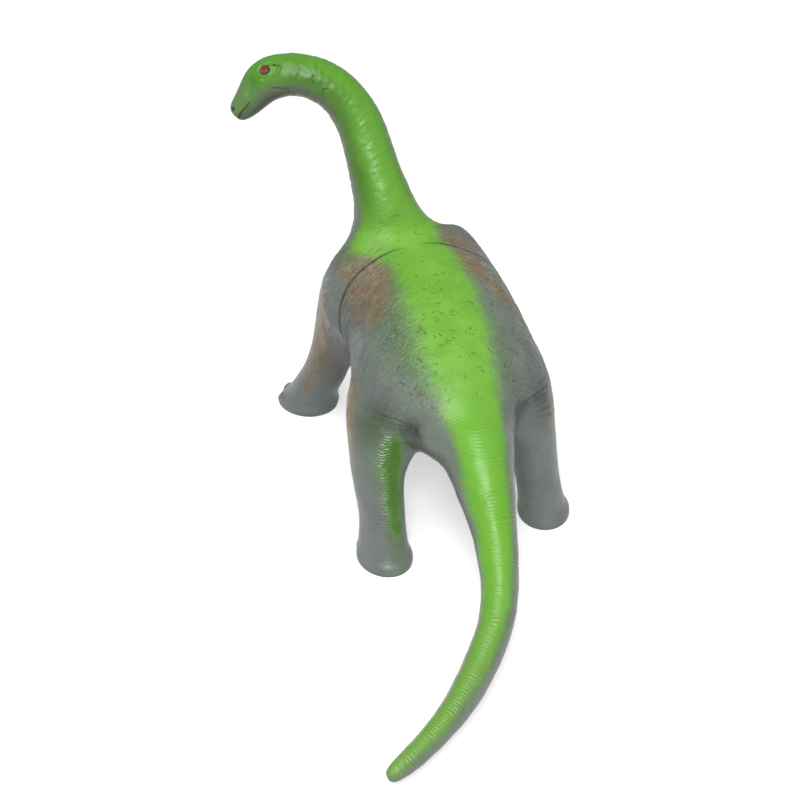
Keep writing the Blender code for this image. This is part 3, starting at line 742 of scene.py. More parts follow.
# Where each kind of skin begins and ends, as rings, shares of the girth or degrees.
maskValues = {
    "blend": 1.5, "headBlend": (-0.5, 2.0), "shank": (0.1, 0.9), "legRings": (3 * mm, 14 * mm),
    "muzzle": (38.4, 41.0), "headTone": (29.5, 37.0), "tailEnd": (5.0, 10.5),
    "backUp": (0.15, 0.75), "backFrom": (14, 17), "backTail": 0.6,
    # pebbles: the middle and spread along and round the body, and the share common to both sides
    "pebbleRing": (18.0, 2.3), "pebbleTurn": (32, 19), "pebbleBoth": 0.65,
    # pits: on the trunk, and how many are left ahead of it, on the neck and on the tail
    "pitTrunk": (19.5, 22.5), "pitAhead": 0.45, "pitNeck": (28, 31), "pitNeckShare": 0.3,
    "pitTail": (11.5, 14.5),
    # hatching: on plain skin, and what the brown and the flank add and the green takes away
    "hatchPlain": 0.50, "hatchBrown": 0.6, "hatchFlank": 0.3, "flank": (0.5, 0.9),
    "hatchGreen": 0.5, "green": (-4, 10),
    # half width and half length that lay marks round a leg, in metres, and the green kept off it
    "legCoat": (0.022, 0.026), "legBare": 80,
}


def nearSegment(points, first, second):
    first, second = np.array(first), np.array(second)
    along = second - first
    share = np.clip((points - first) @ along / max(along @ along, 1e-12), 0.0, 1.0)
    return np.linalg.norm(points - first - share[:, None] * along, axis=1)


def sprayed(points, rows):
    # how thickly the spots cover each point, softly towards their edges
    bare = np.ones(len(points))
    for first, second, radius, strength in rows:
        far = nearSegment(points, spotMm(first), spotMm(second)) / mm
        bare *= 1 - strength * np.exp(-paintValues["sprayFall"] * (far / radius) ** 2)
    return 1 - bare


def paintDarkAndShade(points):
    # dark paint on the nostrils and lids, painted shade round the eyes, and painted shade in the hollows
    # and over the forelegs
    dark = np.zeros(len(points))
    inner, outer = paintValues["touchEdge"]
    for ring, degrees, radius, strength in paintValues["dark"]:
        far = np.linalg.norm(points - np.array(onSkin(bodyPoint(ring, degrees))), axis=1) / mm
        dark = np.maximum(dark, strength * (1 - smoothShare(far, radius * inner, radius * outer)))
    for place, radius, strength in paintValues["shade"]:
        for side in (1, -1):
            far = np.linalg.norm(points - np.array(onSkin(spotMm(place, side))), axis=1) / mm
            dark = np.maximum(dark, strength * bell(far, 0.0, radius))
    return dark


def skinFacts(mesh):
    v = maskValues
    points = places(mesh)
    ring, up, left, leg, legOut, legAhead = (fact(mesh, name) for name in Cage.names)
    turn = np.degrees(np.arctan2(left, up))
    stripe = np.array(paintValues["stripe"], float)
    onLeft, onRight = (np.interp(ring, stripe[:, 0], stripe[:, k]) for k in (1, 2))
    girth = [(r[1].length + r[2].length) / 2 for r in rings]
    local = np.interp(ring, np.arange(len(rings)), girth)
    edge = np.radians(np.minimum(onLeft - turn, turn - onRight)) * local / mm
    centres = np.array([tuple(r[0]) for r in rings])
    run = np.concatenate([[0.0], np.linalg.norm(np.diff(centres, axis=0), axis=1).cumsum()])
    along = np.interp(ring, np.arange(len(rings)), run)
    brown = sprayed(points, paintValues["brown"])

    tail = 1 - smoothShare(ring, firstTrunk - v["blend"], firstTrunk + v["blend"])
    head = smoothShare(ring, *(firstHead + shift for shift in v["headBlend"]))
    neck = smoothShare(ring, firstNeck - v["blend"], firstNeck + v["blend"]) * (1 - head)
    shank = smoothShare(leg, *v["shank"])
    trunk = np.clip(1 - tail - neck - head, 0, 1) * (1 - shank)
    back = smoothShare(up, *v["backUp"]) * smoothShare(ring, *v["backFrom"])
    pebbles = bell(ring, *v["pebbleRing"]) * bell(np.abs(turn), *v["pebbleTurn"]) * trunk
    pebbles = pebbles * (v["pebbleBoth"] + (1 - v["pebbleBoth"]) * np.sign(turn))
    pits = v["pitAhead"] + (1 - v["pitAhead"]) * (1 - smoothShare(ring, *v["pitTrunk"]))
    pits = pits * trunk + neck * v["pitNeckShare"] * (1 - smoothShare(ring, *v["pitNeck"]))
    pits = back * (pits + tail * smoothShare(ring, *v["pitTail"]))
    hatch = v["hatchPlain"] + v["hatchBrown"] * brown
    hatch = hatch + v["hatchFlank"] * smoothShare(np.abs(left), *v["flank"])
    hatch = hatch - v["hatchGreen"] * smoothShare(edge, *v["green"])
    outCoat, aheadCoat = v["legCoat"]
    facts = {
        "greenEdge": edge - leg * v["legBare"], "greenSpray": sprayed(points, paintValues["green"]),
        "brownSpray": brown, "glossy": sprayed(points, paintValues["gloss"]),
        "darkPaintAndShade": paintDarkAndShade(points), "muzzle": smoothShare(ring, *v["muzzle"]),
        "bodyCoat": np.stack([along, up * local, left * local], axis=1),
        "legCoat": np.stack([points[:, 2], legOut * outCoat, legAhead * aheadCoat], axis=1),
        "tailRings": tail, "tailEnd": 1 - smoothShare(ring, *v["tailEnd"]), "neckRings": neck,
        "legRings": shank * smoothShare(points[:, 2], *v["legRings"]), "headSkin": head,
        "headTone": smoothShare(ring, *v["headTone"]), "trunkSkin": trunk, "pebbles": pebbles,
        "pitted": np.clip(pits, 0, 1), "backSkin": back * (trunk + tail * v["backTail"]),
        "hatched": trunk * np.clip(hatch, 0, 1),
    }
    for name, values in facts.items():
        putFact(mesh, name, values)


skinFacts(body.data)
print("paint masks laid")


# Relief: creases, hatching, pits and pebbles that follow the skin

reliefValues = {
    "Tail Pitch": 2.6 * mm, "Tail Depth": 0.75 * mm,
    "Neck Pitch": 6.6 * mm, "Neck Depth": 0.24 * mm,
    "Leg Pitch": 2.9 * mm, "Leg Depth": 0.26 * mm,
    "Hatch Width": 3.4 * mm, "Hatch Depth": 0.48 * mm,
    "Pit Spacing": 4.3 * mm, "Pit Depth": 0.40 * mm,
    "Pebble Size": 2.6 * mm, "Pebble Depth": 0.40 * mm,
    "Lump Size": 16.0 * mm, "Lump Depth": 1.0 * mm,
    "Bump Size": 10.0 * mm, "Bump Depth": 1.2 * mm,
}

# The creases round each limb: how they wander, over how many metres, and how dark their painted shade
# is.
limbValues = {"Tail": (2.4, 0.020, 1.0), "Neck": (3.0, 0.022, 0.25), "Leg": (2.2, 0.020, 0.5)}

# How the marks are cut from noises and cells: edges, shares kept, scales.
markValues = {
    "drift": 0.22, "creasePower": 0.6, "creaseMiddle": 0.7, "creaseDark": (0.0, 0.45),
    "patchScale": 70.0, "patchEdge": (0.34, 0.62), "patchLeast": 0.15, "strokeEdge": (0.0, 0.075),
    "hatchLength": 0.017, "crowdScale": 60.0, "crowd": 0.22,
    "pitShift": (-0.83, 0.83, 0.83), "pitEdge": (0.025, 0.085), "pitShare": (0.73, 0.79),
    "dotScale": 0.8, "dotEdge": (0.08, 0.20), "dotShare": (0.84, 0.94), "domeEdge": (0.15, 0.75),
    "headLess": 0.8, "bumpStretch": (1.5, 1.0, 1.0), "trunkBumps": 0.5, "creaseShade": 0.8,
    "soleFade": (0.0, 3 * mm),
}


def creaseBands(bench, coat, pitch, sway, reach):
    # 0 in a crease and 1 on the swell between two; the creases run round the limb and wander
    scale = bench.triple(markValues["drift"] / pitch, 1 / reach, 1 / reach)
    drift = bench.noise(bench.stretch(coat, scale), 1.0, 2.0)
    along = bench.parts(coat)[0]
    return abs(bench.sum("SINE", (along / pitch + (drift - 0.5) * sway) * math.pi))


def hatching(bench, coat, width, length):
    # short strokes round the body: the level lines of a drawn-out noise
    wave = bench.noise(bench.stretch(coat, bench.triple(1 / width, 1 / length, 1 / length)), 1.0, 2.0)
    return 1 - bench.step(abs(wave - 0.5), *markValues["strokeEdge"])


def pitMarks(bench, coat, spacing):
    # short curved strokes cut from a noise's level line, and dots between them
    v = markValues
    wave = bench.noise(coat, 1 / spacing, 1.0)
    here = bench.noise(bench.stretch(coat, v["pitShift"]), 1 / spacing, 1.0)
    crowd = bench.noise(coat, v["crowdScale"], 1.0) * v["crowd"]
    mark = (1 - bench.step(abs(wave - 0.5), *v["pitEdge"])) * bench.step(here + crowd, *v["pitShare"])
    away, tint = bench.cells(coat, v["dotScale"] / spacing)
    lot = bench.parts(tint)[0]
    dot = (1 - bench.step(away, *v["dotEdge"])) * bench.step(lot + crowd, *v["dotShare"])
    return bench.larger(dot, mark)


def reliefTree():
    tree = bpy.data.node_groups.new("skinRelief", "GeometryNodeTree")
    face = tree.interface
    face.new_socket("Geometry", in_out="INPUT", socket_type="NodeSocketGeometry")
    for name in reliefValues:
        face.new_socket(name, in_out="INPUT", socket_type="NodeSocketFloat")
    face.new_socket("Finish", in_out="INPUT", socket_type="NodeSocketMaterial")
    face.new_socket("Geometry", in_out="OUTPUT", socket_type="NodeSocketGeometry")
    bench = Bench(tree)
    inlet = tree.nodes.new("NodeGroupInput")
    outlet = tree.nodes.new("NodeGroupOutput")

    def given(name):
        return Strand(bench, inlet.outputs[name])

    def kept(name, kind="FLOAT"):
        return bench.node("GeometryNodeInputNamedAttribute", {"Name": name}, data_type=kind)

    v = markValues
    bodyCoat, legCoat = (kept(name, "FLOAT_VECTOR") for name in ("bodyCoat", "legCoat"))
    lift, darkAndShade = 0.0, 0.0
    for part, (sway, reach, shown) in limbValues.items():
        coat = legCoat if part == "Leg" else bodyCoat
        mask = kept(part.lower() + "Rings")
        swellUp = creaseBands(bench, coat, given(part + " Pitch"), sway, reach)
        patchy = bench.step(bench.noise(coat, v["patchScale"], 2.0), *v["patchEdge"])
        patchy = patchy * (1 - v["patchLeast"]) + v["patchLeast"]
        swollen = swellUp ** v["creasePower"] - v["creaseMiddle"]
        lift = lift + swollen * given(part + " Depth") * mask * patchy
        # painted shade in the bottoms of the creases
        darkAndShade = darkAndShade + (1 - bench.step(swellUp, *v["creaseDark"])) * mask * patchy * shown
    strokes = hatching(bench, bodyCoat, given("Hatch Width"), v["hatchLength"]) * kept("hatched")
    pits = pitMarks(bench, bodyCoat, given("Pit Spacing")) * kept("pitted")
    domes = 1 - bench.step(bench.cells(bodyCoat, 1 / given("Pebble Size"))[0], *v["domeEdge"])
    position = bench.node("GeometryNodeInputPosition")
    lumps = bench.noise(position, 1.0 / given("Lump Size"), 2.0)
    bumps = bench.noise(bench.stretch(bodyCoat, v["bumpStretch"]), 1.0 / given("Bump Size"), 1.0)
    bumpy = kept("neckRings") + kept("trunkSkin") * v["trunkBumps"]
    lift = lift - strokes * given("Hatch Depth") - pits * given("Pit Depth")
    lift = lift + (domes - 0.5) * given("Pebble Depth") * kept("pebbles")
    lift = lift + (lumps - 0.5) * given("Lump Depth") * (1 - kept("headSkin") * v["headLess"])
    lift = lift + (bumps - 0.5) * given("Bump Depth") * bumpy
    soleRise = bench.step(bench.parts(position)[2], *v["soleFade"])
    normal = bench.node("GeometryNodeInputNormal")
    offset = bench.node("ShaderNodeVectorMath", {0: normal, "Scale": lift * soleRise}, operation="SCALE")
    moved = bench.node("GeometryNodeSetPosition",
                       {"Geometry": given("Geometry"), "Offset": offset})
    # the painted shade of the creases and the strokes is kept on the skin
    washed = bench.node("GeometryNodeStoreNamedAttribute", {
        "Geometry": moved, "Name": "creaseShade", "Value": bench.larger(darkAndShade * v["creaseShade"], strokes)},
        data_type="FLOAT")
    whole = bench.node("GeometryNodeRealizeInstances", {"Geometry": washed})
    done = bench.node("GeometryNodeSetMaterial", {"Geometry": whole, "Material": given("Finish")})
    tree.links.new(done.socket, outlet.inputs["Geometry"])
    return tree


def addRelief(obj, material):
    tree = reliefTree()
    relief = obj.modifiers.new("relief", "NODES")
    relief.node_group = tree
    for item in tree.interface.items_tree:
        if item.in_out == "INPUT" and item.name in reliefValues:
            relief[item.identifier] = reliefValues[item.name]
        elif item.in_out == "INPUT" and item.name == "Finish":
            relief[item.identifier] = material
    settle(obj)


# Finishes

def paint(seen):
    # a colour as a screen shows it, 0 to 255, made linear
    return tuple(((c / 255 + 0.055) / 1.055) ** 2.4 for c in seen) + (1.0,)


def newFinish(name):
    # a material with its bench and its shader
    material = bpy.data.materials.new(name)
    material.use_nodes = True
    return material, Bench(material.node_tree), material.node_tree.nodes["Principled BSDF"]


vinylValues = {
    "tones": {
        "green": (108, 170, 47), "greenPale": (120, 182, 60), "greenTail": (112, 178, 52),
        "greenNeck": (104, 168, 54), "greenHead": (84, 150, 34), "greenDeep": (73, 124, 26),
        # the pale tone paints glints on the tops of the pebbles
        "greenDull": (96, 122, 82), "greenEnd": (112, 162, 64), "paleGlint": (168, 192, 156),
        # the darker grey under the neck and head is painted shade on the underside
        "grey": (124, 132, 127), "greyCool": (114, 121, 118), "greyUnderShade": (82, 91, 72),
        "brown": (134, 111, 82), "brownPale": (152, 136, 110), "muzzle": (104, 132, 88),
        "black": (26, 24, 20), "nail": (124, 128, 119)},
    # scale, detail and roughness of the noises
    "blotch": (42.0, 3.0, 0.55), "mottle": (120.0, 3.0, 0.6), "fleck": (420.0, 3.0, 0.65),
    "grain": (650.0, 3.0, 0.6),
    # the green's edge in mm: its width, what narrows and widens it, and how far noises push it on
    # smooth and on pebbly skin
    "edge": 6.5, "edgeTail": 1.0, "edgeNeck": 2.0, "edgePebbles": 8.0, "pushPebbles": 4.0,
    "pushBlotch": 10.0, "pushMottle": (6.0, 14.0), "pushFleck": (5.0, 9.0),
    # where sprays take, the muzzle's fade under and over the green, the dark rim of the neck's green
    "greenTakes": (0.45, 0.95), "brownTakes": (0.0, 0.90), "brownPatchy": 1.2,
    "muzzleUnder": (-28.0, 2.0), "muzzleOver": (-3.0, 2.0), "neckRim": (6.0, 26.0),
    "greyEdge": (0.35, 0.65), "leafEdge": (0.3, 0.7),
    # shares of tones laid over others
    "muzzleUnderShare": 0.35, "muzzleOverShare": 0.85, "nailShare": 0.5, "dullSpray": 1.1,
    "dullPebbles": 0.8, "glintShare": 0.45,
    "gritSize": 1.9 * mm, "gritEdge": (0.10, 0.60), "gritKept": (0.72, 0.80),
    # darkening: its tint, how dark the painted pits are, how much painted shade the creases, folds,
    # strokes and scratches hold, width and length of strokes
    "darkTint": (0.30, 0.38, 0.30), "darkPits": 0.45, "shadeCreases": 0.32, "shadeFolds": 0.6,
    "shadeStrokes": 0.28, "shadeScratches": 0.16,
    "strokes": (2.2 * mm, 0.012), "scratches": (2.0 * mm, 0.0045),
    # wrinkles too fine for relief: pitch, wandering and reach, then the heights of all fine marks
    "bodyWrinkles": (1.3 * mm, 3.0, 0.012), "legWrinkles": (2.3 * mm, 2.6, 0.011),
    "bump": 0.35 * mm, "heightTail": 0.22, "heightNeck": 0.04, "heightLeg": 0.25, "heightStrokes": 0.6,
    "heightPits": 1.1, "heightScratches": 0.4, "heightGrain": 0.22, "heightGrainBack": 0.35,
    "heightGrainPebbles": 0.25, "heightMottle": 0.5, "heightGrit": 0.7,
    "roughness": 0.40, "roughMottle": 0.22, "roughWhereDark": 0.25, "shinePebbles": 0.14, "shineTail": 0.07,
    "shineGlossy": 0.12, "shineTailEnd": 0.07, "shineLimbs": 0.04,
}


def vinylFinish():
    v = vinylValues
    material, bench, shader = newFinish("softVinyl")
    tone = {name: paint(seen) for name, seen in v["tones"].items()}

    def kept(name, output="Fac"):
        return bench.node("ShaderNodeAttribute", output=output, attribute_name=name)

    bodyCoat, legCoat = kept("bodyCoat", "Vector"), kept("legCoat", "Vector")
    place = bench.node("ShaderNodeTexCoord", output="Object")
    blotch, mottle, fleck = (bench.noise(place, *v[name]) for name in ("blotch", "mottle", "fleck"))
    pebbles, tail, neck = kept("pebbles"), kept("tailRings"), kept("neckRings")
    greenEdge, headTone = kept("greenEdge"), kept("headTone")

    # sprayed paint: grey skin, brown patches, then the green from above
    edge = greenEdge + (blotch - 0.5) * v["pushBlotch"]
    for noise, (smoothPush, pebblePush) in ((mottle, v["pushMottle"]), (fleck, v["pushFleck"])):
        edge = edge + (noise - 0.5) * (smoothPush + pebbles * pebblePush)
    edge = edge + pebbles * v["pushPebbles"]
    soft = v["edge"] - tail * v["edgeTail"] - neck * v["edgeNeck"] + pebbles * v["edgePebbles"]
    over = bench.step(edge / soft, -1.0, 1.0)
    patchy = 0.5 - (mottle + fleck) * 0.5
    spray = bench.step(kept("greenSpray") - patchy, *v["greenTakes"])
    brown = bench.step(kept("brownSpray") - patchy * v["brownPatchy"], *v["brownTakes"])
    under = bench.larger(neck, headTone)
    dull = bench.larger(kept("greenSpray") * v["dullSpray"], pebbles * v["dullPebbles"])
    muzzleUnder = bench.step(greenEdge, *v["muzzleUnder"]) * v["muzzleUnderShare"]
    # grey with random cool patches, painted shade on the grey under the neck and head, the muzzle's
    # tint, brown patches, then dull green
    colour = bench.layers(
        bench.blend(bench.step(blotch, *v["greyEdge"]), tone["greyCool"], tone["grey"]),
        (under, tone["greyUnderShade"]), (muzzleUnder, tone["muzzle"]),
        (brown, bench.blend(bench.step(mottle, *v["greyEdge"]), tone["brownPale"], tone["brown"])),
        (dull, tone["greenDull"]))
    rim = (1 - bench.step(edge, *v["neckRim"])) * neck
    leaf = bench.layers(
        bench.blend(bench.step(blotch, *v["leafEdge"]), tone["green"], tone["greenPale"]),
        (tail, bench.blend(kept("tailEnd"), tone["greenTail"], tone["greenEnd"])),
        (under, tone["greenNeck"]), (headTone, tone["greenHead"]),
        (bench.larger(rim, spray * (1 - over)), tone["greenDeep"]))
    muzzleOver = kept("muzzle") * bench.step(greenEdge, *v["muzzleOver"]) * v["muzzleOverShare"]
    # pale dots on the tops of the pebbles: painted glints
    away, tint = bench.cells(bodyCoat, 1 / v["gritSize"])
    domes = 1 - bench.step(away, *v["gritEdge"])
    glintFlecks = domes * bench.step(bench.parts(tint)[1], *v["gritKept"]) * pebbles
    colour = bench.layers(
        colour, (bench.larger(over, spray), leaf), (muzzleOver, tone["muzzle"]),
        (kept("nail") * v["nailShare"], tone["nail"]), (glintFlecks * v["glintShare"], tone["paleGlint"]))

    # dark paint in the pits, and painted shade in the creases, folds, strokes and scratches
    pits = pitMarks(bench, bodyCoat, reliefValues["Pit Spacing"]) * kept("pitted")
    strokes = hatching(bench, bodyCoat, *v["strokes"]) * kept("hatched")
    scratch = hatching(bench, bodyCoat, *v["scratches"]) * pebbles
    darkAndShade = pits * v["darkPits"]
    for mark, share in ((kept("creaseShade"), v["shadeCreases"]), (kept("foldShade"), v["shadeFolds"]),
                        (strokes, v["shadeStrokes"]), (scratch, v["shadeScratches"])):
        darkAndShade = bench.larger(darkAndShade, mark * share)
    # the darkened marks tint the colour darker; the dark nostrils and lids, the painted shade in the
    # hollows, over the forelegs and round the eyes, and the painted shade in the seam's gap go towards
    # black
    colour = bench.layers(colour, (darkAndShade, bench.stretch(colour, v["darkTint"])),
                          (bench.larger(kept("darkPaintAndShade"), kept("seamGapShade")), tone["black"]))

    # fine wrinkles that break up the shine
    glossy, legRings = kept("glossy"), kept("legRings")
    height = creaseBands(bench, bodyCoat, *v["bodyWrinkles"])
    height = height * (tail * v["heightTail"] + neck * v["heightNeck"])
    shown = v["heightLeg"] + glossy * (1 - v["heightLeg"])
    height = height + creaseBands(bench, legCoat, *v["legWrinkles"]) * legRings * shown
    for mark, deep in ((strokes, v["heightStrokes"]), (pits, v["heightPits"]),
                       (scratch, v["heightScratches"])):
        height = height - mark * deep
    grainy = v["heightGrain"] + kept("backSkin") * v["heightGrainBack"]
    grainy = grainy + pebbles * v["heightGrainPebbles"]
    height = height + bench.noise(bodyCoat, *v["grain"]) * grainy + mottle * v["heightMottle"]
    height = height + domes * pebbles * v["heightGrit"]
    bump = bench.node("ShaderNodeBump", {"Height": height, "Strength": 1.0, "Distance": v["bump"]},
                      output="Normal")
    rough = v["roughness"] + (mottle - 0.5) * v["roughMottle"] + darkAndShade * v["roughWhereDark"]
    for mark, shine in ((pebbles, v["shinePebbles"]), (tail, v["shineTail"]), (glossy, v["shineGlossy"]),
                        (kept("tailEnd"), v["shineTailEnd"]), (neck + legRings, v["shineLimbs"])):
        rough = rough - mark * shine
    bench.plug(shader.inputs["Base Color"], colour)
    bench.plug(shader.inputs["Roughness"], rough)
    bench.plug(shader.inputs["Normal"], bump)
    return material


vinyl = vinylFinish()
addRelief(body, vinyl)
print("relief worked in")


# The seam: two halves with rounded rims and the snap joint behind them

seamValues = {
    "forward": 137.94 * mm, "left": -2.92 * mm, "height": 124.02 * mm, "lean": -12,
    "halfGap": 0.15 * mm, "closeGap": 0.02 * mm, "rimSide": 1.2 * mm, "rimTop": 0.2 * mm,
    # in mm from the cut: rows of points, and how far off faces, the rim and the painted shade of the gap
    # are looked for
    "rows": (0.0, 0.25, 0.6, 1.0, 1.5, 2.2), "faces": 12, "rim": 3, "gapShadeReach": 4, "atCut": 0.02,
    # the painted shade in the seam's gap: strength, width in mm, and the middle and spread in degrees
    # where it fades out
    "gapShade": 0.85, "gapShadeWidth": 0.8, "fade": (2, 11),
    # the snap joint: radius and height along the seam's axis in mm
    "frontProfile": ((46, 0.15), (46, -3.45), (48.5, -3.95), (48.5, -6.65), (47, -8.15),
                     (43, -8.15), (43, -2.0), (0, -2.0)),
    "rearProfile": ((46.3, -0.15), (46.3, -3.15), (50.5, -3.15), (50.5, -9.5), (0, -9.5)),
}
lean = math.radians(seamValues["lean"])
seamAxis = way(math.cos(lean), 0.0, math.sin(lean))
seamMiddle = spot(seamValues["forward"], seamValues["left"], seamValues["height"])


def aheadOfSeam(point):
    return (point - seamMiddle).dot(seamAxis)


def sliceHalf(shape, side):
    # lays rows of points beside the cut, then takes the other half away
    v = seamValues
    for row in v["rows"]:
        near = [f for f in shape.faces
                if abs(aheadOfSeam(f.calc_center_median())) < v["faces"] * mm]
        geom = set(near)
        for f in near:
            geom.update(f.edges)
            geom.update(f.verts)
        plane = seamMiddle + seamAxis * (side * (v["halfGap"] + row * mm))
        bmesh.ops.bisect_plane(shape, geom=list(geom), dist=1e-7, plane_co=plane, plane_no=seamAxis)
    gone = [f for f in shape.faces
            if side * aheadOfSeam(f.calc_center_median()) < v["halfGap"]]
    bmesh.ops.delete(shape, geom=gone, context="FACES")


def roundRim(shape, side):
    v = seamValues
    rim = []
    for vert in shape.verts:
        away = side * aheadOfSeam(vert.co) - v["halfGap"]
        if away < v["rim"] * mm:
            inward = -(vert.normal - seamAxis * vert.normal.dot(seamAxis)).normalized()
            top = max(-inward.z, 0.0) ** 3
            radius = v["rimSide"] + (v["rimTop"] - v["rimSide"]) * top
            if away < radius:
                reach = radius - max(away, 0.0)
                rim.append((vert, inward * (radius - math.sqrt(max(radius ** 2 - reach ** 2, 0.0)))))
    for vert, move in rim:
        vert.co += move


def shadeSeamGap(shape, side):
    # painted shade along the rim that darkens the gap between the halves; it fades over the spine, where
    # the halves all but meet
    v = seamValues
    layer = shape.verts.layers.float.new("seamGapShade")
    upward, leftward = (shape.verts.layers.float.get(name) for name in ("upward", "leftward"))
    middle, spread = v["fade"]
    for vert in shape.verts:
        away = (side * aheadOfSeam(vert.co) - v["halfGap"]) / mm
        if away < v["gapShadeReach"]:
            turn = math.degrees(math.atan2(vert[leftward], vert[upward]))
            shown = 1 - math.exp(-((turn - middle) / spread) ** 2)
            if away < v["atCut"]:
                vert.co -= seamAxis * side * (v["halfGap"] - v["closeGap"]) * (1 - shown)
            # painted shade for the seam's gap, strongest at the cut
            vert[layer] = v["gapShade"] * shown * math.exp(-(away / v["gapShadeWidth"]) ** 2)


def orderedLoop(border):
    follow = {}
    for e in border:
        for a, b in (e.verts, reversed(e.verts)):
            follow.setdefault(a, []).append(b)
    start = border[0].verts[0]
    loop = [start]
    previous, current = None, start
    while True:
        following = [other for other in follow[current] if other is not previous][0]
        if following is start:
            return loop
        loop.append(following)
        previous, current = current, following


def addSnap(shape, profile):
    # rings of the snap joint from the rim inwards, then a cap
    loop = orderedLoop([e for e in shape.edges if e.is_boundary])
    following = [*range(1, len(loop)), 0]
    for radius, height in profile:
        centre = seamMiddle + seamAxis * (height * mm)
        if radius == 0:
            cap = shape.verts.new(centre)
            for k, n in enumerate(following):
                shape.faces.new((loop[k], loop[n], cap))
            break
        ring = []
        for vert in loop:
            out = vert.co - seamMiddle
            out = (out - seamAxis * out.dot(seamAxis)).normalized()
            ring.append(shape.verts.new(centre + out * radius * mm))
        for k, n in enumerate(following):
            shape.faces.new((loop[k], loop[n], ring[n], ring[k]))
        loop = ring


def cutHalf(name, side):
    # side is 1 for the half ahead of the seam, -1 for the half behind it
    shape = bmesh.new()
    shape.from_mesh(body.data)
    sliceHalf(shape, side)
    roundRim(shape, side)
    shadeSeamGap(shape, side)
    addSnap(shape, seamValues["frontProfile" if side > 0 else "rearProfile"])
    bmesh.ops.recalc_face_normals(shape, faces=shape.faces)
    for f in shape.faces:
        f.smooth = True
    mesh = meshFrom(shape, name)
    mesh.materials.clear()
    mesh.materials.append(vinyl)
    return newObject(name, mesh)


frontSkin = cutHalf("frontSkin", 1)
rearSkin = cutHalf("rearSkin", -1)
bpy.data.objects.remove(body)


def triangles(obj):
    return sum(len(polygon.vertices) - 2 for polygon in obj.data.polygons)


def thinOut(obj, limit):
    count = triangles(obj)
    if count > limit:
        thin = obj.modifiers.new("thin", "DECIMATE")
        thin.ratio = limit / count
        settle(obj)
    print(obj.name, "triangles:", triangles(obj))


for half in (frontSkin, rearSkin):
    thinOut(half, refineValues["mostTriangles"])
    half.data.shade_smooth()
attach(frontSkin, "front_half")
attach(rearSkin, "rear_half")
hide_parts("front_skin")
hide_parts("rear_skin")


# Eyes

eyeValues = {
    "ring": 2.0, "degrees": 60, "radius": 4.8 * mm, "tall": 0.88, "depth": 2.1 * mm, "sink": 1.1 * mm,
    "segments": 48, "rings": 32,
    "tones": {"dark": (104, 24, 18), "light": (140, 38, 30), "corner": (168, 104, 84),
              "pupil": (34, 18, 14), "rim": (52, 50, 34)},
    # places on the eye as shares of its half width, forward and towards the crown
    "pupilPlace": (0.42, -0.38), "pupil": (0.34, 0.62), "corner": (0.35, 0.75), "rim": (0.74, 0.88),
    "streak": (3.5, 3.0, 0.6), "cornerShare": 0.8, "pupilShare": 0.9, "roughness": 0.42,
}


def eyeFinish():
    v = eyeValues
    material, bench, shader = newFinish("eyePaint")
    tone = {name: paint(seen) for name, seen in v["tones"].items()}
    look = bench.node("ShaderNodeAttribute", output="Vector", attribute_name="eyePlace")
    ahead, crownward, _ = bench.parts(look)
    pupilAhead, pupilUp = v["pupilPlace"]
    away = ((ahead - pupilAhead) ** 2 + (crownward - pupilUp) ** 2) ** 0.5
    corner = bench.step(0.0 - ahead, *v["corner"]) * v["cornerShare"]
    pupil = (1 - bench.step(away, *v["pupil"])) * v["pupilShare"]
    rim = bench.step((ahead ** 2 + crownward ** 2) ** 0.5, *v["rim"])
    colour = bench.layers(
        bench.blend(bench.noise(look, *v["streak"]), tone["dark"], tone["light"]),
        (corner, tone["corner"]), (pupil, tone["pupil"]), (rim, tone["rim"]))
    bench.plug(shader.inputs["Base Color"], colour)
    shader.inputs["Roughness"].default_value = v["roughness"]
    return material


def makeEyes():
    v = eyeValues
    shape = bmesh.new()
    layer = shape.verts.layers.float_vector.new("eyePlace")
    for side in (1, -1):
        ring = firstHead + v["ring"]
        middle = bodyPoint(ring, side * v["degrees"])
        inside = bodyPoint(ring, side * v["degrees"], 0.0)
        ahead = (bodyPoint(ring + 1, 0, 0.0) - inside).normalized()
        out = (middle - inside).normalized()
        crownward = (out.cross(ahead) * -side).normalized()
        along = crownward.cross(out) * side
        centre = middle - out * v["sink"]
        made = bmesh.ops.create_uvsphere(shape, u_segments=v["segments"],
                                         v_segments=v["rings"], radius=1.0)
        for vert in made["verts"]:
            x, y, z = vert.co
            vert[layer] = (x, y, z)
            vert.co = centre + along * x * v["radius"] + crownward * y * v["radius"] * v["tall"]
            vert.co += out * z * v["depth"]
    bmesh.ops.recalc_face_normals(shape, faces=shape.faces)
    eyes = newObject("eyes", meshFrom(shape, "eyes"))
    eyes.data.materials.append(eyeFinish())
    eyes.data.shade_smooth()
    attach(eyes, "front_half")
    return eyes


makeEyes()
print("eyes set")


# Stuffing

wadValues = {
    "cutBack": 0.6 * mm, "curl": 1.6 * mm, "curlSize": 9 * mm, "voxel": 3.0 * mm, "rounds": 6,
    # along each axis: waves per curl, how much they sway, and how fast the sway runs
    "waves": ((2.1, 3, 1.0), (1.7, 2, 1.3), (2.3, 1.5, 0.9)),
    "dark": (0.70, 0.69, 0.65, 1.0), "light": (0.92, 0.91, 0.88, 1.0),
    "fibre": (260.0, 5.0, 0.7, 1.5), "bump": 1.0 * mm, "roughness": 0.95, "sheen": 0.3,
}


def fibreFinish():
    v = wadValues
    material, bench, shader = newFinish("polyesterFibre")
    curl = bench.noise(bench.node("ShaderNodeTexCoord", output="Object"), *v["fibre"])
    bump = bench.node("ShaderNodeBump", {"Height": curl, "Strength": 1.0, "Distance": v["bump"]},
                      output="Normal")
    bench.plug(shader.inputs["Base Color"], bench.blend(curl, v["dark"], v["light"]))
    bench.plug(shader.inputs["Normal"], bump)
    shader.inputs["Roughness"].default_value = v["roughness"]
    shader.inputs["Sheen Weight"].default_value = v["sheen"]
    return material


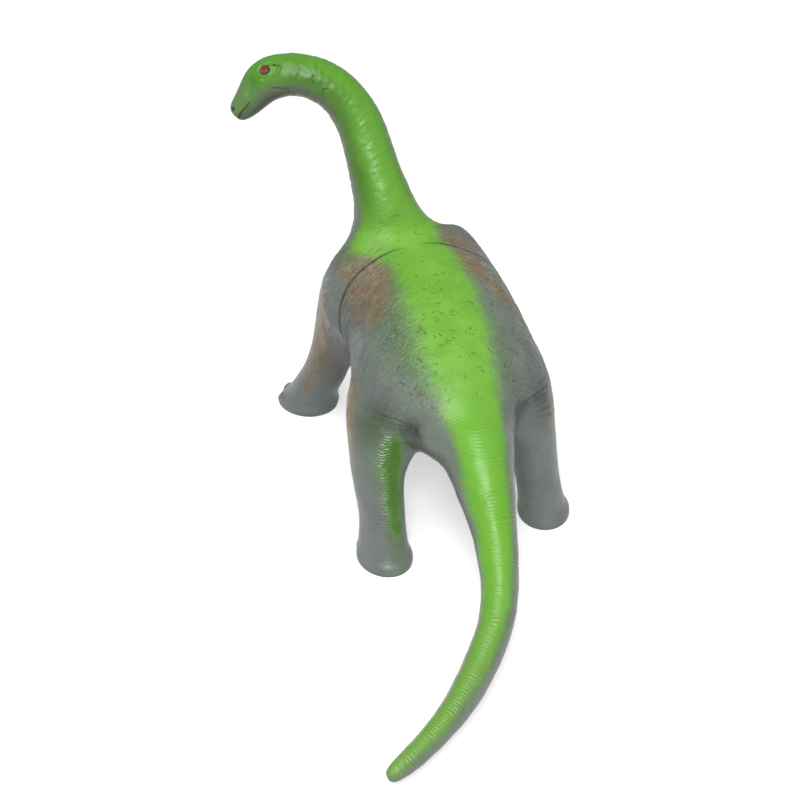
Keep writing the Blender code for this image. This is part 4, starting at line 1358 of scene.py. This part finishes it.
def makeWad(node, bodyName, finish):
    v = wadValues
    shape = bmesh.new()
    shape.from_mesh(frame["nodes"][node].data)
    bmesh.ops.remove_doubles(shape, verts=shape.verts, dist=1e-6)
    bmesh.ops.recalc_face_normals(shape, faces=shape.faces)
    wad = newObject(node + "Fibre", meshFrom(shape, node + "Fibre"))
    soften = wad.modifiers.new("soften", "REMESH")
    soften.mode = "VOXEL"
    soften.voxel_size = v["voxel"]
    even = wad.modifiers.new("even", "SMOOTH")
    even.iterations = v["rounds"]
    settle(wad)
    points, outward = places(wad.data), normals(wad.data)
    scaled = points / v["curlSize"]
    wave = 1.0
    for axis, (rate, sway, swayRate) in enumerate(v["waves"]):
        following = scaled[:, (axis + 1) % 3]
        wave = wave * np.sin(scaled[:, axis] * rate + sway * np.sin(following * swayRate))
    putPlaces(wad.data, points - outward * (v["cutBack"] + v["curl"] * (0.5 + 0.5 * wave))[:, None])
    wad.data.materials.clear()
    wad.data.materials.append(finish)
    wad.data.shade_smooth()
    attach(wad, bodyName)
    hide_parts(node)


fibre = fibreFinish()
for bodyName, nodes in (
        ("front_half", ("neck_stuffing", "chest_stuffing", "left_foreleg_stuffing",
                        "right_foreleg_stuffing")),
        ("rear_half", ("trunk_stuffing", "left_hind_leg_stuffing", "right_hind_leg_stuffing",
                       "tail_stuffing"))):
    for node in nodes:
        makeWad(node, bodyName, fibre)
print("stuffing made")


# Studio

studioValues = {
    "cameraPlace": (0.30446, 1.02409, 0.91342), "cameraRight": (-0.96815, 0.25038, 0.0),
    "cameraUp": (-0.14717, -0.56906, 0.80902), "lens": 76.5, "sensor": 36.0,
    "floorSize": 12.0, "floorColour": 0.86, "floorGlow": 0.45, "bounceColour": 0.12,
    "worldStrength": 0.40, "white": (1.0, 1.0, 1.0, 1.0),
    # place, what it points at, size and power of each lamp
    "lamps": {
        "overhead": ((0.45, 0.40, 1.9), (0.0, 0.0, 0.1), 1.3, 15.0),
        "key": ((0.35, 1.25, 1.40), (0.0, 0.0, 0.1), 0.70, 17.0),
    },
}


def areaLight(name, place, target, size, power):
    lamp = bpy.data.lights.new(name, "AREA")
    lamp.shape = "DISK"
    lamp.size = size
    lamp.energy = power
    obj = newObject(name, lamp)
    obj.location = place
    obj.rotation_euler = (Vector(target) - Vector(place)).to_track_quat("-Z", "Y").to_euler()


def paperFinish():
    # white paper: the camera sees it white with the toy's shadow, the toy gets a softer bounce
    v = studioValues
    material, bench, shader = newFinish("paperFloor")
    tree = material.node_tree
    tree.nodes.remove(shader)
    seenTone, bounceTone = ((tone, tone, tone, 1.0) for tone in (v["floorColour"], v["bounceColour"]))
    rays = bench.make("ShaderNodeLightPath")
    seen = 0.0
    for ray in ("Is Camera Ray", "Is Glossy Ray", "Is Transmission Ray"):
        seen = bench.larger(seen, Strand(bench, rays.outputs[ray]))
    white = bench.node("ShaderNodeBsdfDiffuse", {"Color": seenTone})
    glow = bench.node("ShaderNodeEmission", {"Color": v["white"], "Strength": v["floorGlow"]})
    lit = bench.node("ShaderNodeAddShader", {0: white, 1: glow})
    soft = bench.node("ShaderNodeBsdfDiffuse", {"Color": bounceTone})
    both = bench.node("ShaderNodeMixShader", {0: seen, 1: soft, 2: lit})
    tree.links.new(both.socket, tree.nodes["Material Output"].inputs["Surface"])
    return material


def makeStudio():
    v = studioValues
    right, up = Vector(v["cameraRight"]), Vector(v["cameraUp"])
    camera = newObject("camera", bpy.data.cameras.new("camera"))
    camera.data.lens = v["lens"]
    camera.data.sensor_width = v["sensor"]
    camera.matrix_world = Matrix.Translation(v["cameraPlace"]) @ Matrix(
        (right, up, right.cross(up))).transposed().to_4x4()
    bpy.context.scene.camera = camera

    half = v["floorSize"] / 2
    shape = bmesh.new()
    shape.faces.new([shape.verts.new((x * half, y * half, 0.0))
                     for x, y in ((-1, -1), (1, -1), (1, 1), (-1, 1))])
    floor = newObject("floor", meshFrom(shape, "floor"))
    floor.data.materials.append(paperFinish())

    world = bpy.data.worlds.new("studioAir")
    world.use_nodes = True
    bpy.context.scene.world = world
    air = world.node_tree.nodes["Background"].inputs
    air["Color"].default_value = v["white"]
    air["Strength"].default_value = v["worldStrength"]
    for name, (place, target, size, power) in v["lamps"].items():
        areaLight(name, place, target, size, power)
    bpy.context.scene.view_settings.view_transform = "Standard"


makeStudio()
print("studio set")
